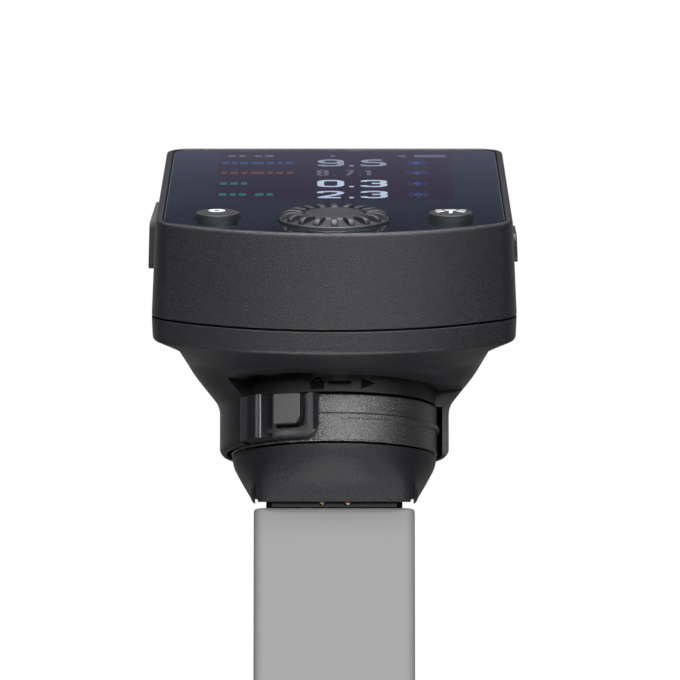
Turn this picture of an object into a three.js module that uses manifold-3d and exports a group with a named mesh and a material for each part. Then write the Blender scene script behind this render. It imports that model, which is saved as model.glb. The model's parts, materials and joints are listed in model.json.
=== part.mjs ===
// Wireless flash trigger: a tilted display head on a round neck with a lock ring and a shoe foot.
// Millimetres. +X is the user's right, +Y points to the subject, +Z is up out of the camera's shoe.
// The origin is the centre of the foot plate's bottom face.

import * as THREE from 'three';
import { mergeVertices } from 'three/addons/utils/BufferGeometryUtils.js';
import Module from 'manifold-3d';

const wasm = await Module();
wasm.setup();

// ---- Driving dimensions -------------------------------------------------------------------

// Head: a slab whose own plane (x, v) is tilted about X, with w as its outward normal.
const HEAD_TILT = 20.2;            // degrees, the near edge lower
const HEAD_HEIGHT = 32.0;          // parting plane above the foot, on the neck axis
const HEAD_HALF_WIDTH = 24.7;
const NEAR_REACH = 33.0;           // neck axis to the near edge's apex, along the slab
const FAR_REACH = 41.0;
const NEAR_ARC = 36.6;             // radius of the bowed near edge
const NEAR_CORNER = 5.5;
const FAR_CORNER = 4.0;
const HEAD_TOP = 13.1;             // parting plane to the rim's top
const LOWER_WALL = 3.26;           // parting plane down to where the underside starts
const HALF_SEAM = 0.15;            // half of the visible seam between the two shells
const LIP = { outer: 0.95, height: 1.0 };  // tongue of the lower shell inside the upper one
const WALL = 1.7;
const TOP_DRAFT = 0.6;             // how far the wall leans in from the seam to the rim
const DECK_TOP = 12.05;            // shelf that the glass lies on
const DECK_BOTTOM = 10.7;
const RIM = 0.9;

const GLASS_BOTTOM = 12.2;
const GLASS_TOP = 13.0;

// Controls on the head's face.
const DIAL_V = -21.2;
const DIAL_RADIUS = 7.4;
const DIAL_BASE = 11.3;
const DIAL_EDGE = 13.3;            // height of the hub's outer edge
const DIAL_CENTRE = 14.05;         // height of the hub's rim round the cap
const DIAL_TOP = 14.3;             // height of the ribs
const DIAL_RIBS = 18;
const RIB = { inner: 4.4, outer: 7.12, thickness: 0.9 };
const CAP = { radius: 4.0, bottom: 13.55, middle: 13.8 };
const BUTTON_X = 15.75;
const BUTTON_V = -19.5;
const BUTTON_RADIUS = 2.95;
const BUTTON_TOP = 13.83;
const BUTTON_FLANGE = { width: 0.5, bottom: 10.0, top: 10.45 };
const DISPLAY = { halfWidth: 17.7, nearV: -4.0, farV: 38.5, bottom: 9.8, top: 11.9 };

// Side features.
const PORT = { v0: -4.0, v1: 14.0, w0: 3.2, w1: 9.8, inner: -23.75, outer: -25.65 };
const USB_V = 8.6;
const JACK_V = -0.4;
const PORT_W = 7.1;                // height of both sockets' centres
const POWER = { v: -2.0, w: 6.5, length: 8.0, height: 4.0, inner: 21.75, outer: 25.25 };

// Electronics.
const BOARD = { halfWidth: 17.2, nearV: -25.0, farV: 37.0, bottom: 4.0, top: 5.2 };
const BATTERY = { half: 16.0, corner: 1.5, bottom: -3.8, top: 3.2, v: 14.0 };
const ENCODER = { half: 6.0, top: 10.3, bore: 1.8, shaft: 1.5, shaftBottom: 6.5, shaftTop: 12.8 };
const SWITCH = { half: 2.3, top: 8.7, plunger: 1.3, plungerTop: 9.1 };
const RADIO = { halfWidth: 9.0, nearV: 14.0, farV: 30.0, top: 6.1 };
const SHIELD = { halfX: 7.0, halfV: 5.5, v: 21.0, bottom: 6.25, top: 8.2 };
const SOLDER_GAP = 0.1;            // parts stand this far off the board

// Screws in the head: [x, v] places.
const SHELL_SCREWS = [[20.3, -13.5], [-20.3, -13.5], [20.5, 36.4], [-20.5, 36.4]];
const BOARD_SCREWS = [[13.2, -9.4], [-13.2, -9.4]];
const POST_RADIUS = 2.25;
const SHELL_SCREW = { shank: 0.95, head: 1.85, bottom: -3.9, seat: 10.35, top: 11.9 };
const BOARD_SCREW = { shank: 0.75, head: 1.5, bottom: 3.0, seat: 3.85, top: 9.0 };

// Neck and lock ring, on the vertical neck axis.
const COLLAR_RADIUS = 15.8;
const COLLAR_BORE = 14.9;
const COLLAR_BOTTOM = 8.5;
const COLLAR_TOP = 15.3;
const FUNNEL_RADIUS = 19.4;        // where the neck's funnel meets the slab's underside
const FUNNEL_HEIGHT = 19.7;
const FUNNEL_SLOPE = 0.114;        // rise of that edge per millimetre of +Y
const WINDOW_TOP = 17.55;
const WINDOW_START = -52.5;        // degrees about +Z, counted from the near side
const WINDOW_END = 88;
const BOSS_RADIUS = 14.0;
const BOSS_BOTTOM = 15.2;
const CORE = { radius: 11.0, bore: 7.9, bottom: 5.1, flange: 12.6, flangeBottom: 19.3, top: 20.8 };
const RING = { inner: 11.3, outer: 14.2, bottom: 8.36, top: 14.88 };
const BAND = { radius: 14.5, low: 11.5, high: 12.25 };
const LOCK_TURN = 90;              // degrees from unlocked to locked
const PIN_STROKE = 1.2;
const PIN_Y = 6.8;
const PIN_RADIUS = 0.8;
const FOLLOWER = { halfWidth: 1.1, tip: 12.3, low: 9.3, high: 10.7 };

// Lever on the ring: azimuths in degrees, counted as the window's are.
const LEVER = { start: -50, padStart: -29.5, padEnd: -16, frameStart: -13, end: -8 };
const LEVER_BOTTOM = 8.8;
const LEVER_TOP = 14.75;
const LEVER_BACK = 14.65;
const LEVER_FLOOR = 15.4;
const LEVER_FRAME = 16.2;
const LEVER_GRIP = 17.7;
const SILL = 0.95;                 // height of the lever's foot under the release button
const PAD = { inner: 15.1, outer: 16.9, lift: 1.7, gap: 0.9 };

// Foot.
const PLATE = { halfX: 9.3, halfY: 9.0, top: 2.0, chamfer: 0.8 };
const SHOE_NECK = 6.2;
const REAR_WALL = 9.3;             // the bowl's near wall starts this far behind the neck axis
const BOWL_FLOOR = 2.9;
const RAIL_SLOT = { halfWidth: 11.0, top: 3.6 };
const FOOT_SCREW = 6.8;
const BLOCK_RADIUS = 4.7;
const BLOCK_FLANGE = 5.4;
const BLOCK_SEAT = 3.95;
const BLOCK_TOP = 5.0;
const CENTRE_CONTACT_Y = 1.9;
const CONTACT_PROUD = 0.3;
const DATA_RING = 3.5;
const DATA_ANGLES = [-150, -110, -70, -30];  // degrees from +X
const REAR_CONTACTS = [-1.65, 1.85];
const REAR_CONTACT_Z = 0.85;

const FIT = 0.3;                   // clearance between neighbouring pieces
const PAST = 30;                   // far enough out for a cutter to pass right through
const ROUND = 48;                  // points round a large circle

// ---- Helpers ------------------------------------------------------------------------------

const radians = THREE.MathUtils.degToRad;

// Azimuth 0 is the near side (-Y) and grows towards +X.
function polar(radius, azimuth, z = 0) {
  const a = radians(azimuth);
  return new THREE.Vector3(radius * Math.sin(a), -radius * Math.cos(a), z);
}

function toManifold(geometry) {
  const bare = geometry.clone();
  for (const name of Object.keys(bare.attributes)) {
    if (name !== 'position') bare.deleteAttribute(name);
  }
  const merged = mergeVertices(bare, 1e-5);
  const corners = merged.index.array;
  const kept = [];
  for (let i = 0; i < corners.length; i += 3) {
    const [a, b, c] = [corners[i], corners[i + 1], corners[i + 2]];
    if (a !== b && b !== c && c !== a) kept.push(a, b, c);
  }
  return new wasm.Manifold(new wasm.Mesh({
    numProp: 3,
    vertProperties: Float32Array.from(merged.attributes.position.array),
    triVerts: Uint32Array.from(kept),
  }));
}

function toGeometry(body) {
  const mesh = body.getMesh();
  const geometry = new THREE.BufferGeometry();
  geometry.setAttribute('position', new THREE.BufferAttribute(mesh.vertProperties, 3));
  geometry.setIndex(new THREE.BufferAttribute(mesh.triVerts, 1));
  geometry.computeVertexNormals();
  return geometry;
}

const join = (first, ...rest) => rest.reduce((sum, g) => sum.add(toManifold(g)), toManifold(first));
const cut = (body, ...tools) => tools.reduce((left, g) => left.subtract(toManifold(g)), body);

function box(x0, x1, y0, y1, z0, z1) {
  const geometry = new THREE.BoxGeometry(x1 - x0, y1 - y0, z1 - z0);
  return geometry.translate((x0 + x1) / 2, (y0 + y1) / 2, (z0 + z1) / 2);
}

function rod(radius, z0, z1, x = 0, y = 0, around = 20) {
  const geometry = new THREE.CylinderGeometry(radius, radius, z1 - z0, around);
  return geometry.rotateX(Math.PI / 2).translate(x, y, (z0 + z1) / 2);
}

// A body of revolution about +Z from [radius, height] pairs, listed from the bottom to the top.
function turned(profile, around = ROUND) {
  const points = profile.map(([r, z]) => new THREE.Vector2(r, z));
  return new THREE.LatheGeometry(points, around).rotateX(Math.PI / 2);
}

// A flat outline raised from z0 to z1.
function raised(shape, z0, z1, curveSegments = 8) {
  const options = { depth: z1 - z0, bevelEnabled: false, curveSegments };
  return new THREE.ExtrudeGeometry(shape, options).translate(0, 0, z0);
}

function roundedRectangle(halfX, halfY, radius) {
  const shape = new THREE.Shape();
  shape.absarc(halfX - radius, halfY - radius, radius, 0, Math.PI / 2);
  shape.absarc(radius - halfX, halfY - radius, radius, Math.PI / 2, Math.PI);
  shape.absarc(radius - halfX, radius - halfY, radius, Math.PI, 1.5 * Math.PI);
  shape.absarc(halfX - radius, radius - halfY, radius, 1.5 * Math.PI, 2 * Math.PI);
  return shape;
}

// Part of a ring between two azimuths.
function sector(inner, outer, start, end) {
  const shape = new THREE.Shape();
  const [a, b] = [radians(start - 90), radians(end - 90)];
  shape.absarc(0, 0, outer, a, b, false);
  shape.absarc(0, 0, inner, b, a, true);
  return shape;
}

// Joins outlines of equal point count, listed from the bottom up, into one closed body: a plain
// cylinder whose rows of points are moved onto the outlines.
function loft(sections) {
  const around = sections[0].length;
  const rows = sections.length - 1;
  const geometry = new THREE.CylinderGeometry(1, 1, 1, around, rows);
  const position = geometry.attributes.position;
  for (let i = 0; i < position.count; i += 1) {
    const [x, y, z] = [position.getX(i), position.getY(i), position.getZ(i)];
    const section = sections[Math.round((y + 0.5) * rows)];
    const turn = Math.atan2(x, z) / (2 * Math.PI);
    const point = section[((Math.round(turn * around) % around) + around) % around];
    const target = Math.hypot(x, z) > 0.5 ? point : centreOf(section);
    position.setXYZ(i, target.x, target.y, target.z);
  }
  geometry.computeVertexNormals();
  return geometry;
}

function centreOf(points) {
  const sum = points.reduce((total, p) => total.add(p), new THREE.Vector3());
  return sum.divideScalar(points.length);
}

// ---- Outlines -----------------------------------------------------------------------------

function arcPoints(cx, cy, radius, start, end, steps) {
  const points = [];
  for (let i = 0; i < steps; i += 1) {
    const a = start + (end - start) * i / steps;
    points.push(new THREE.Vector3(cx + radius * Math.cos(a), cy + radius * Math.sin(a), 0));
  }
  return points;
}

function linePoints(from, to, steps) {
  return Array.from({ length: steps }, (_, i) => from.clone().lerp(to, i / steps));
}

// The slab's outline in its own plane, counter-clockwise from the near edge's apex.
function slabOutline(inset, w) {
  const half = HEAD_HALF_WIDTH - inset;
  const near = Math.max(NEAR_CORNER - inset, 0.4);
  const far = Math.max(FAR_CORNER - inset, 0.4);
  const arc = NEAR_ARC - inset;
  const arcV = NEAR_ARC - NEAR_REACH;
  const cornerX = half - near;
  const cornerV = arcV - Math.sqrt((arc - near) ** 2 - cornerX ** 2);
  const tangent = Math.atan2(cornerV - arcV, cornerX);
  const farV = FAR_REACH - inset;
  const right = new THREE.Vector3(half, farV - far, 0);
  const left = new THREE.Vector3(-half, farV - far, 0);
  const points = [
    ...arcPoints(0, arcV, arc, -Math.PI / 2, tangent, 6),
    ...arcPoints(cornerX, cornerV, near, tangent, 0, 5),
    ...linePoints(new THREE.Vector3(half, cornerV, 0), right, 9),
    ...arcPoints(half - far, farV - far, far, 0, Math.PI / 2, 4),
    ...linePoints(new THREE.Vector3(half - far, farV, 0), new THREE.Vector3(far - half, farV, 0), 6),
    ...arcPoints(far - half, farV - far, far, Math.PI / 2, Math.PI, 4),
    ...linePoints(left, new THREE.Vector3(-half, cornerV, 0), 9),
    ...arcPoints(-cornerX, cornerV, near, Math.PI, Math.PI - tangent, 5),
    ...arcPoints(0, arcV, arc, Math.PI - tangent, 1.5 * Math.PI, 6),
  ];
  return points.map((p) => p.setZ(w));
}

const headMatrix = new THREE.Matrix4()
  .makeTranslation(0, 0, HEAD_HEIGHT)
  .multiply(new THREE.Matrix4().makeRotationX(radians(HEAD_TILT)));

const tilted = (points) => points.map((p) => p.applyMatrix4(headMatrix));

// A circle about the neck axis whose points lie at the azimuths of the slab's outline.
function neckCircle(radius, height, slope = 0) {
  return tilted(slabOutline(0, 0)).map((p) => {
    const a = Math.atan2(p.y, p.x);
    const y = radius * Math.sin(a);
    return new THREE.Vector3(radius * Math.cos(a), y, height + slope * y);
  });
}

// An outline between a circle (squareness 2) and a rounded square about the neck axis.
function footSection(halfX, halfY, squareness, z) {
  return Array.from({ length: ROUND }, (_, i) => {
    const a = 2 * Math.PI * i / ROUND;
    const [c, s] = [Math.cos(a), Math.sin(a)];
    const x = halfX * Math.sign(c) * Math.abs(c) ** (2 / squareness);
    const y = halfY * Math.sign(s) * Math.abs(s) ** (2 / squareness);
    return new THREE.Vector3(x, y, z);
  });
}

// ---- Head shells --------------------------------------------------------------------------

function upperShell() {
  const outer = loft([
    slabOutline(0, HALF_SEAM),
    slabOutline(TOP_DRAFT, HEAD_TOP - 0.4),
    slabOutline(TOP_DRAFT + 0.1, HEAD_TOP - 0.12),
    slabOutline(TOP_DRAFT + 0.35, HEAD_TOP),
  ]);
  const cavity = loft([slabOutline(WALL, -1), slabOutline(WALL + TOP_DRAFT, DECK_BOTTOM)]);
  const lipGap = 0.15;
  const rebate = loft([
    slabOutline(LIP.outer - lipGap, -1),
    slabOutline(LIP.outer - lipGap, LIP.height + lipGap),
  ]);
  const recess = loft([
    slabOutline(TOP_DRAFT + RIM, DECK_TOP),
    slabOutline(TOP_DRAFT + RIM, HEAD_TOP + 1),
  ]);
  const gap = FIT;
  const displayHole = box(-DISPLAY.halfWidth - gap, DISPLAY.halfWidth + gap,
    DISPLAY.nearV - gap, DISPLAY.farV + gap, DECK_BOTTOM - 1, DECK_TOP + 1);
  let body = cut(toManifold(outer), cavity, rebate, recess, displayHole,
    rod(DIAL_RADIUS + FIT, DECK_BOTTOM - 1, DECK_TOP + 1, 0, DIAL_V, 36));
  for (const side of [-1, 1]) {
    body = cut(body, rod(BUTTON_RADIUS + 0.2, DECK_BOTTOM - 1, DECK_TOP + 1, side * BUTTON_X, BUTTON_V));
  }
  for (const [x, v] of SHELL_SCREWS) {
    body = body.add(toManifold(rod(POST_RADIUS, HALF_SEAM, DECK_BOTTOM + 0.5, x, v, 16)));
    body = cut(body, rod(1.25, -1, DECK_TOP + 1, x, v, 12), rod(2.15, 10.2, DECK_TOP + 1, x, v, 16));
  }
  for (const [x, v] of BOARD_SCREWS) {
    body = body.add(toManifold(rod(1.8, BOARD.top + 0.15, DECK_BOTTOM + 0.5, x, v, 12)));
    body = cut(body, rod(1.0, 0, 9.5, x, v, 10));
  }
  return toGeometry(cut(body, ...portCuts(), powerHole()));
}

// The recess for the port cover and the two socket holes behind it.
function portCuts() {
  const gap = FIT / 2;
  const recess = box(-PAST, PORT.inner + gap, PORT.v0 - gap, PORT.v1 + gap, PORT.w0 - gap, PORT.w1 + gap);
  const usb = box(-PAST, -20, USB_V - 4.8, USB_V + 4.8, PORT_W - 1.9, PORT_W + 1.9);
  const jack = rod(1.6, -10, 0, 0, 0, 16).rotateY(Math.PI / 2).translate(-20, JACK_V, PORT_W);
  return [recess, usb, jack];
}

function powerHole() {
  const outline = roundedRectangle(POWER.length / 2 + 0.15, POWER.height / 2 + 0.15, 1.9);
  return sideways(raised(outline, 0, 10, 4)).translate(20, POWER.v, POWER.w);
}

// Turns a piece so that its outline's X runs along v, its Y along w, and its depth along X.
function sideways(geometry) {
  return geometry.rotateX(Math.PI / 2).rotateZ(Math.PI / 2);
}

function lowerShell() {
  const outer = toManifold(loft([
    neckCircle(COLLAR_RADIUS - 0.45, COLLAR_BOTTOM),
    neckCircle(COLLAR_RADIUS, COLLAR_BOTTOM + 0.6),
    neckCircle(COLLAR_RADIUS, COLLAR_TOP),
    neckCircle(FUNNEL_RADIUS, FUNNEL_HEIGHT, FUNNEL_SLOPE),
    tilted(slabOutline(0.12, -LOWER_WALL)),
    tilted(slabOutline(0, -HALF_SEAM)),
    tilted(slabOutline(LIP.outer, -HALF_SEAM)),
    tilted(slabOutline(LIP.outer, LIP.height)),
  ]));
  const cavity = loft([
    neckCircle(12.9, 19.2),
    neckCircle(FUNNEL_RADIUS - 2, FUNNEL_HEIGHT + WALL, FUNNEL_SLOPE),
    tilted(slabOutline(WALL, -LOWER_WALL + 0.7)),
    tilted(slabOutline(WALL, LIP.height + 1)),
  ]);
  const collarBore = rod(COLLAR_BORE, 0, BOSS_BOTTOM, 0, 0, ROUND);
  const coreBore = rod(RING.inner, 0, PAST, 0, 0, ROUND);
  const window = raised(sector(BOSS_RADIUS, PAST, WINDOW_START, WINDOW_END), 0, WINDOW_TOP, 30);
  let body = cut(outer, cavity, collarBore, coreBore, window);
  for (const [x, v] of SHELL_SCREWS) {
    const post = toManifold(rod(POST_RADIUS, -9, -HALF_SEAM, x, v, 16).applyMatrix4(headMatrix));
    body = body.add(post.intersect(outer));
    body = cut(body, rod(1.25, -4.2, 1, x, v, 12).applyMatrix4(headMatrix));
  }
  return toGeometry(body);
}

function coverGlass() {
  const inset = TOP_DRAFT + RIM + 0.15;
  const plate = loft([slabOutline(inset, GLASS_BOTTOM), slabOutline(inset, GLASS_TOP)]);
  return toGeometry(cut(toManifold(plate),
    rod(DIAL_RADIUS + 0.35, 10, 15, 0, DIAL_V, 36),
    rod(BUTTON_RADIUS + 0.25, 10, 15, BUTTON_X, BUTTON_V, 24),
    rod(BUTTON_RADIUS + 0.25, 10, 15, -BUTTON_X, BUTTON_V, 24)));
}

function casingScrew() {
  const { shank, head, bottom, seat, top } = SHELL_SCREW;
  return turned([[0, bottom], [shank, bottom], [shank, seat], [head, seat], [head, top], [0, top]], 12);
}

function boardScrew() {
  const { shank, head, bottom, seat, top } = BOARD_SCREW;
  return turned([[0, bottom], [head, bottom], [head, seat], [shank, seat], [shank, top], [0, top]], 10);
}

// ---- Electronics in the head --------------------------------------------------------------

function displayModule() {
  const { halfWidth, nearV, farV, bottom, top } = DISPLAY;
  return box(-halfWidth, halfWidth, nearV, farV, bottom, top);
}

// A flat cable from the display's near edge down to the board.
function displayRibbon() {
  const v = DISPLAY.nearV - 2.2;
  return box(-6, 6, v, v + 0.3, BOARD.top + SOLDER_GAP, DISPLAY.bottom - 0.2);
}

function mainBoard() {
  const { halfWidth, nearV, farV, bottom, top } = BOARD;
  let body = toManifold(box(-halfWidth, halfWidth, nearV, farV, bottom, top));
  for (const [x, v] of BOARD_SCREWS) body = cut(body, rod(1.0, 0, 9, x, v, 10));
  return toGeometry(body);
}

function battery() {
  const outline = roundedRectangle(BATTERY.half, BATTERY.half, BATTERY.corner);
  return raised(outline, BATTERY.bottom, BATTERY.top, 3).translate(0, BATTERY.v, 0);
}

function encoderBody() {
  const { half, top, bore, shaftBottom } = ENCODER;
  const body = toManifold(box(-half, half, DIAL_V - half, DIAL_V + half, BOARD.top + SOLDER_GAP, top));
  return toGeometry(cut(body, rod(bore, shaftBottom - FIT, top + 1, 0, DIAL_V, 16)));
}

function encoderShaft() {
  return rod(ENCODER.shaft, ENCODER.shaftBottom, ENCODER.shaftTop, 0, 0, 16);
}

function tactSwitch(side) {
  const { half, top, plunger, plungerTop } = SWITCH;
  const [x, v] = [side * (BUTTON_X - 1.1), BUTTON_V];
  const base = box(x - half, x + half, v - half, v + half, BOARD.top + SOLDER_GAP, top);
  return toGeometry(join(base, rod(plunger, top - SOLDER_GAP, plungerTop, side * BUTTON_X, v, 14)));
}

function powerSwitch() {
  const base = box(14.5, 20.4, POWER.v - 3, POWER.v + 3, BOARD.top + SOLDER_GAP, POWER.w + 1.5);
  const plunger = box(20.3, POWER.inner - 0.35, POWER.v - 1, POWER.v + 1, POWER.w - 0.6, POWER.w + 0.6);
  return toGeometry(join(base, plunger));
}

function usbSocket() {
  const shell = box(-22.0, -14.5, USB_V - 4.5, USB_V + 4.5, PORT_W - 1.65, PORT_W + 1.65);
  const mouth = box(-30, -16.5, USB_V - 4.1, USB_V + 4.1, PORT_W - 1.25, PORT_W + 1.25);
  const tongue = box(-21.2, -16.4, USB_V - 3.3, USB_V + 3.3, PORT_W - 0.35, PORT_W + 0.35);
  return toGeometry(cut(toManifold(shell), mouth).add(toManifold(tongue)));
}

function syncJack() {
  const shell = box(-22.0, -13.0, JACK_V - 2.9, JACK_V + 2.9, BOARD.top + SOLDER_GAP, PORT_W + 2.1);
  const bore = rod(1.28, -10, 0, 0, 0, 16).rotateY(Math.PI / 2).translate(-14.5, JACK_V, PORT_W);
  return toGeometry(cut(toManifold(shell), bore));
}

function radioBoard() {
  const { halfWidth, nearV, farV, top } = RADIO;
  return box(-halfWidth, halfWidth, nearV, farV, BOARD.top + SOLDER_GAP, top);
}

function radioShield() {
  const { halfX, halfV, v, bottom, top } = SHIELD;
  return raised(roundedRectangle(halfX, halfV, 0.8), bottom, top, 3).translate(0, v, 0);
}

// ---- Controls -----------------------------------------------------------------------------

// The hub rises from its outer edge to the cap, which sits in a recess.
function dialKnob() {
  const [edge, recess] = [DIAL_RADIUS - 0.15, CAP.radius + 0.2];
  const [sleeve, seat] = [ENCODER.bore, CAP.bottom - 0.15];
  const hub = turned([
    [0, 13.0], [sleeve, 13.0], [sleeve, DIAL_BASE], [DIAL_RADIUS, DIAL_BASE], [DIAL_RADIUS, DIAL_EDGE - 0.15],
    [edge, DIAL_EDGE], [RIB.inner + 0.1, DIAL_CENTRE - 0.2], [RIB.inner, DIAL_CENTRE], [recess, DIAL_CENTRE],
    [recess, seat], [0, seat],
  ], 36);
  let body = toManifold(hub);
  for (let i = 0; i < DIAL_RIBS; i += 1) {
    body = body.add(toManifold(dialRib().rotateZ(2 * Math.PI * i / DIAL_RIBS - Math.PI / 2)));
  }
  return toGeometry(body);
}

// A rib standing on the hub along +X, its outer end rounded down.
function dialRib() {
  const { inner, outer, thickness } = RIB;
  const foot = DIAL_EDGE - 0.1;
  const profile = new THREE.Shape([
    new THREE.Vector2(inner, foot), new THREE.Vector2(outer, foot),
    new THREE.Vector2(outer, DIAL_TOP - 0.55), new THREE.Vector2(outer - 0.22, DIAL_TOP - 0.25),
    new THREE.Vector2(outer - 0.82, DIAL_TOP), new THREE.Vector2(inner, DIAL_TOP - 0.05),
  ]);
  const rib = new THREE.ExtrudeGeometry(profile, { depth: thickness, bevelEnabled: false });
  return rib.translate(0, 0, -thickness / 2).rotateX(Math.PI / 2);
}

function dialCap() {
  const { radius, bottom, middle } = CAP;
  return turned([
    [0, bottom], [radius, bottom], [radius, DIAL_CENTRE - 0.1], [radius - 0.15, DIAL_CENTRE],
    [radius * 0.55, middle + 0.07], [0, middle],
  ], 24);
}

function roundButton() {
  const { width, bottom, top } = BUTTON_FLANGE;
  const [radius, flange] = [BUTTON_RADIUS, BUTTON_RADIUS + width];
  return turned([
    [0, SWITCH.plungerTop + 0.45], [1.0, SWITCH.plungerTop + 0.45], [1.0, bottom], [flange, bottom],
    [flange, top], [radius, top], [radius, BUTTON_TOP - 0.12], [radius - 0.12, BUTTON_TOP], [0, BUTTON_TOP],
  ], 24);
}

function powerButton() {
  const { v, length, height, inner, outer } = POWER;
  const cap = raised(roundedRectangle(length / 2, height / 2, 1.8), inner, outer, 4);
  const flange = raised(roundedRectangle(length / 2 + 0.6, height / 2 + 0.5, 2.2), inner, inner + 0.6, 4);
  return sideways(toGeometry(join(cap, flange))).translate(0, v, POWER.w);
}

function portCover() {
  const middleV = (PORT.v0 + PORT.v1) / 2;
  const middleW = (PORT.w0 + PORT.w1) / 2;
  const outline = roundedRectangle((PORT.v1 - PORT.v0) / 2, (PORT.w1 - PORT.w0) / 2, 1.0);
  const slab = sideways(raised(outline, 0, PORT.inner - PORT.outer, 3));
  const plate = slab.translate(PORT.outer, middleV, middleW);
  const [root, tip] = [PORT.inner - 0.1, PORT.inner + 0.9];
  const usbPlug = box(root, tip, USB_V - 3.9, USB_V + 3.9, PORT_W - 1.0, PORT_W + 1.0);
  const jackPlug = rod(1.0, -0.1, 0.9, 0, 0, 12).rotateY(Math.PI / 2).translate(PORT.inner, JACK_V, PORT_W);
  return toGeometry(join(plate, usbPlug, jackPlug));
}

// ---- Neck, lock ring and lever ------------------------------------------------------------

function neckCore() {
  const { radius, bore, bottom, flange, flangeBottom, top } = CORE;
  const tube = turned([
    [bore, bottom], [radius, bottom], [radius, flangeBottom], [flange, flangeBottom], [flange, top],
    [bore, top], [bore, bottom],
  ]);
  const gap = 0.4;
  const armSlot = box(-FOLLOWER.halfWidth - gap, FOLLOWER.halfWidth + gap, 6, 14,
    FOLLOWER.low - PIN_STROKE - gap, FOLLOWER.high + gap);
  let body = cut(toManifold(tube), armSlot);
  for (const [x, y] of footScrewPlaces()) body = cut(body, rod(1.0, 0, 9.6, x, y, 12));
  return toGeometry(body);
}

function lockRing() {
  const { inner, outer, bottom, top } = RING;
  const edge = 0.25;
  const body = toManifold(turned([
    [inner, bottom], [outer - edge, bottom], [outer, bottom + edge], [outer, BAND.low - 0.1],
    [BAND.radius, BAND.low + 0.1], [BAND.radius, BAND.high - 0.15], [outer, BAND.high],
    [outer, top - edge], [outer - edge, top], [inner, top], [inner, bottom],
  ]));
  return toGeometry(cut(body, ...camGroove()));
}

// The cam groove inside the ring: as the ring turns to locked, it drives the follower down.
function camGroove() {
  const steps = 9;
  const margin = 0.25;
  return Array.from({ length: steps + 1 }, (_, i) => {
    const drop = PIN_STROKE * i / steps;
    const slot = box(-FOLLOWER.halfWidth - margin, FOLLOWER.halfWidth + margin, 10, FOLLOWER.tip + FIT,
      FOLLOWER.low - margin - drop, FOLLOWER.high + margin - drop);
    return slot.rotateZ(radians(-LOCK_TURN * i / steps));
  });
}

function lockPin() {
  const { halfWidth, tip, low, high } = FOLLOWER;
  const pin = turned([[0, 0.2], [0.6, 0.2], [PIN_RADIUS, 0.4], [PIN_RADIUS, high], [0, high]], 16);
  const arm = box(-halfWidth, halfWidth, -0.6, tip - PIN_Y, low, high);
  return toGeometry(join(pin, arm)).translate(0, PIN_Y, 0);
}

function lockLever() {
  const { start, padStart, padEnd, frameStart, end } = LEVER;
  const [bottom, top, into] = [LEVER_BOTTOM, LEVER_TOP, LEVER_FLOOR - 0.2];
  const base = raised(sector(LEVER_BACK, LEVER_FLOOR, start, end), bottom, top, 12);
  const rail = raised(sector(into, LEVER_FRAME, frameStart, end), bottom, top, 3);
  const sill = raised(sector(into, LEVER_FRAME, padStart - 2, end), bottom, bottom + SILL, 8);
  const grip = raised(gripOutline(), bottom, top);
  const pocketShape = sector(10, 20, padStart - PAD.gap, padEnd + PAD.gap);
  const pocket = raised(pocketShape, bottom + PAD.lift - 0.35, top + 1, 6);
  return toGeometry(cut(join(base, rail, sill, grip), pocket));
}

// The thumb grip seen from above: two flats on the outside, a ridge, and a hollowed inner side.
function gripOutline() {
  const start = LEVER.start;
  const end = LEVER.padStart - 1.8;
  const points = [
    polar(LEVER_FLOOR - 0.3, start), polar(LEVER_FLOOR + 1.4, start), polar(LEVER_GRIP - 0.3, start + 7),
    polar(LEVER_GRIP, start + 12.5), polar(LEVER_GRIP - 0.3, start + 15), polar(LEVER_FRAME - 0.2, end),
    polar(LEVER_FLOOR - 0.3, end),
  ];
  return new THREE.Shape(points.map((p) => new THREE.Vector2(p.x, p.y)));
}

function releaseButton() {
  const shape = sector(PAD.inner, PAD.outer, LEVER.padStart, LEVER.padEnd);
  return raised(shape, LEVER_BOTTOM + PAD.lift, LEVER_TOP, 5);
}

// ---- Foot ---------------------------------------------------------------------------------

function footScrewPlaces() {
  const s = FOOT_SCREW;
  return [[s, -s], [s, s], [-s, s], [-s, -s]];
}

// A round bowl that turns into a rounded square. Only its near wall reaches down past the slot
// for the shoe's rails.
function footBase() {
  const bowl = loft([
    footSection(10.9, 10.3, 10, 0.65),
    footSection(11.4, 11.3, 5.5, BOWL_FLOOR),
    footSection(12.8, 12.7, 2.8, 4.9),
    footSection(13.85, 13.85, 2.0, 6.7),
    footSection(14.1, 14.1, 2.0, 8.06),
  ]);
  const slot = RAIL_SLOT.halfWidth;
  const underside = box(-PAST, PAST, -REAR_WALL, PAST, -1, BOWL_FLOOR);
  const railSlot = box(-slot, slot, -REAR_WALL, PAST, -1, RAIL_SLOT.top);
  const shoeNeck = box(-SHOE_NECK, SHOE_NECK, -8.9, 8.9, PLATE.top + 0.1, RAIL_SLOT.top + 0.6);
  let body = cut(toManifold(bowl), underside, railSlot).add(toManifold(shoeNeck));
  body = cut(body, rod(RING.inner, CORE.bottom - 0.1, 12, 0, 0, ROUND),
    rod(BLOCK_FLANGE + 0.2, BLOCK_SEAT - 0.1, 12, 0, 0, 32),
    rod(BLOCK_RADIUS + 0.25, 0, 12, 0, 0, 32), rod(PIN_RADIUS + 0.25, 0, 12, 0, PIN_Y, 16));
  for (const [x, y] of footScrewPlaces()) body = cut(body, rod(1.1, 0, 12, x, y, 12));
  return toGeometry(body);
}

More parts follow.
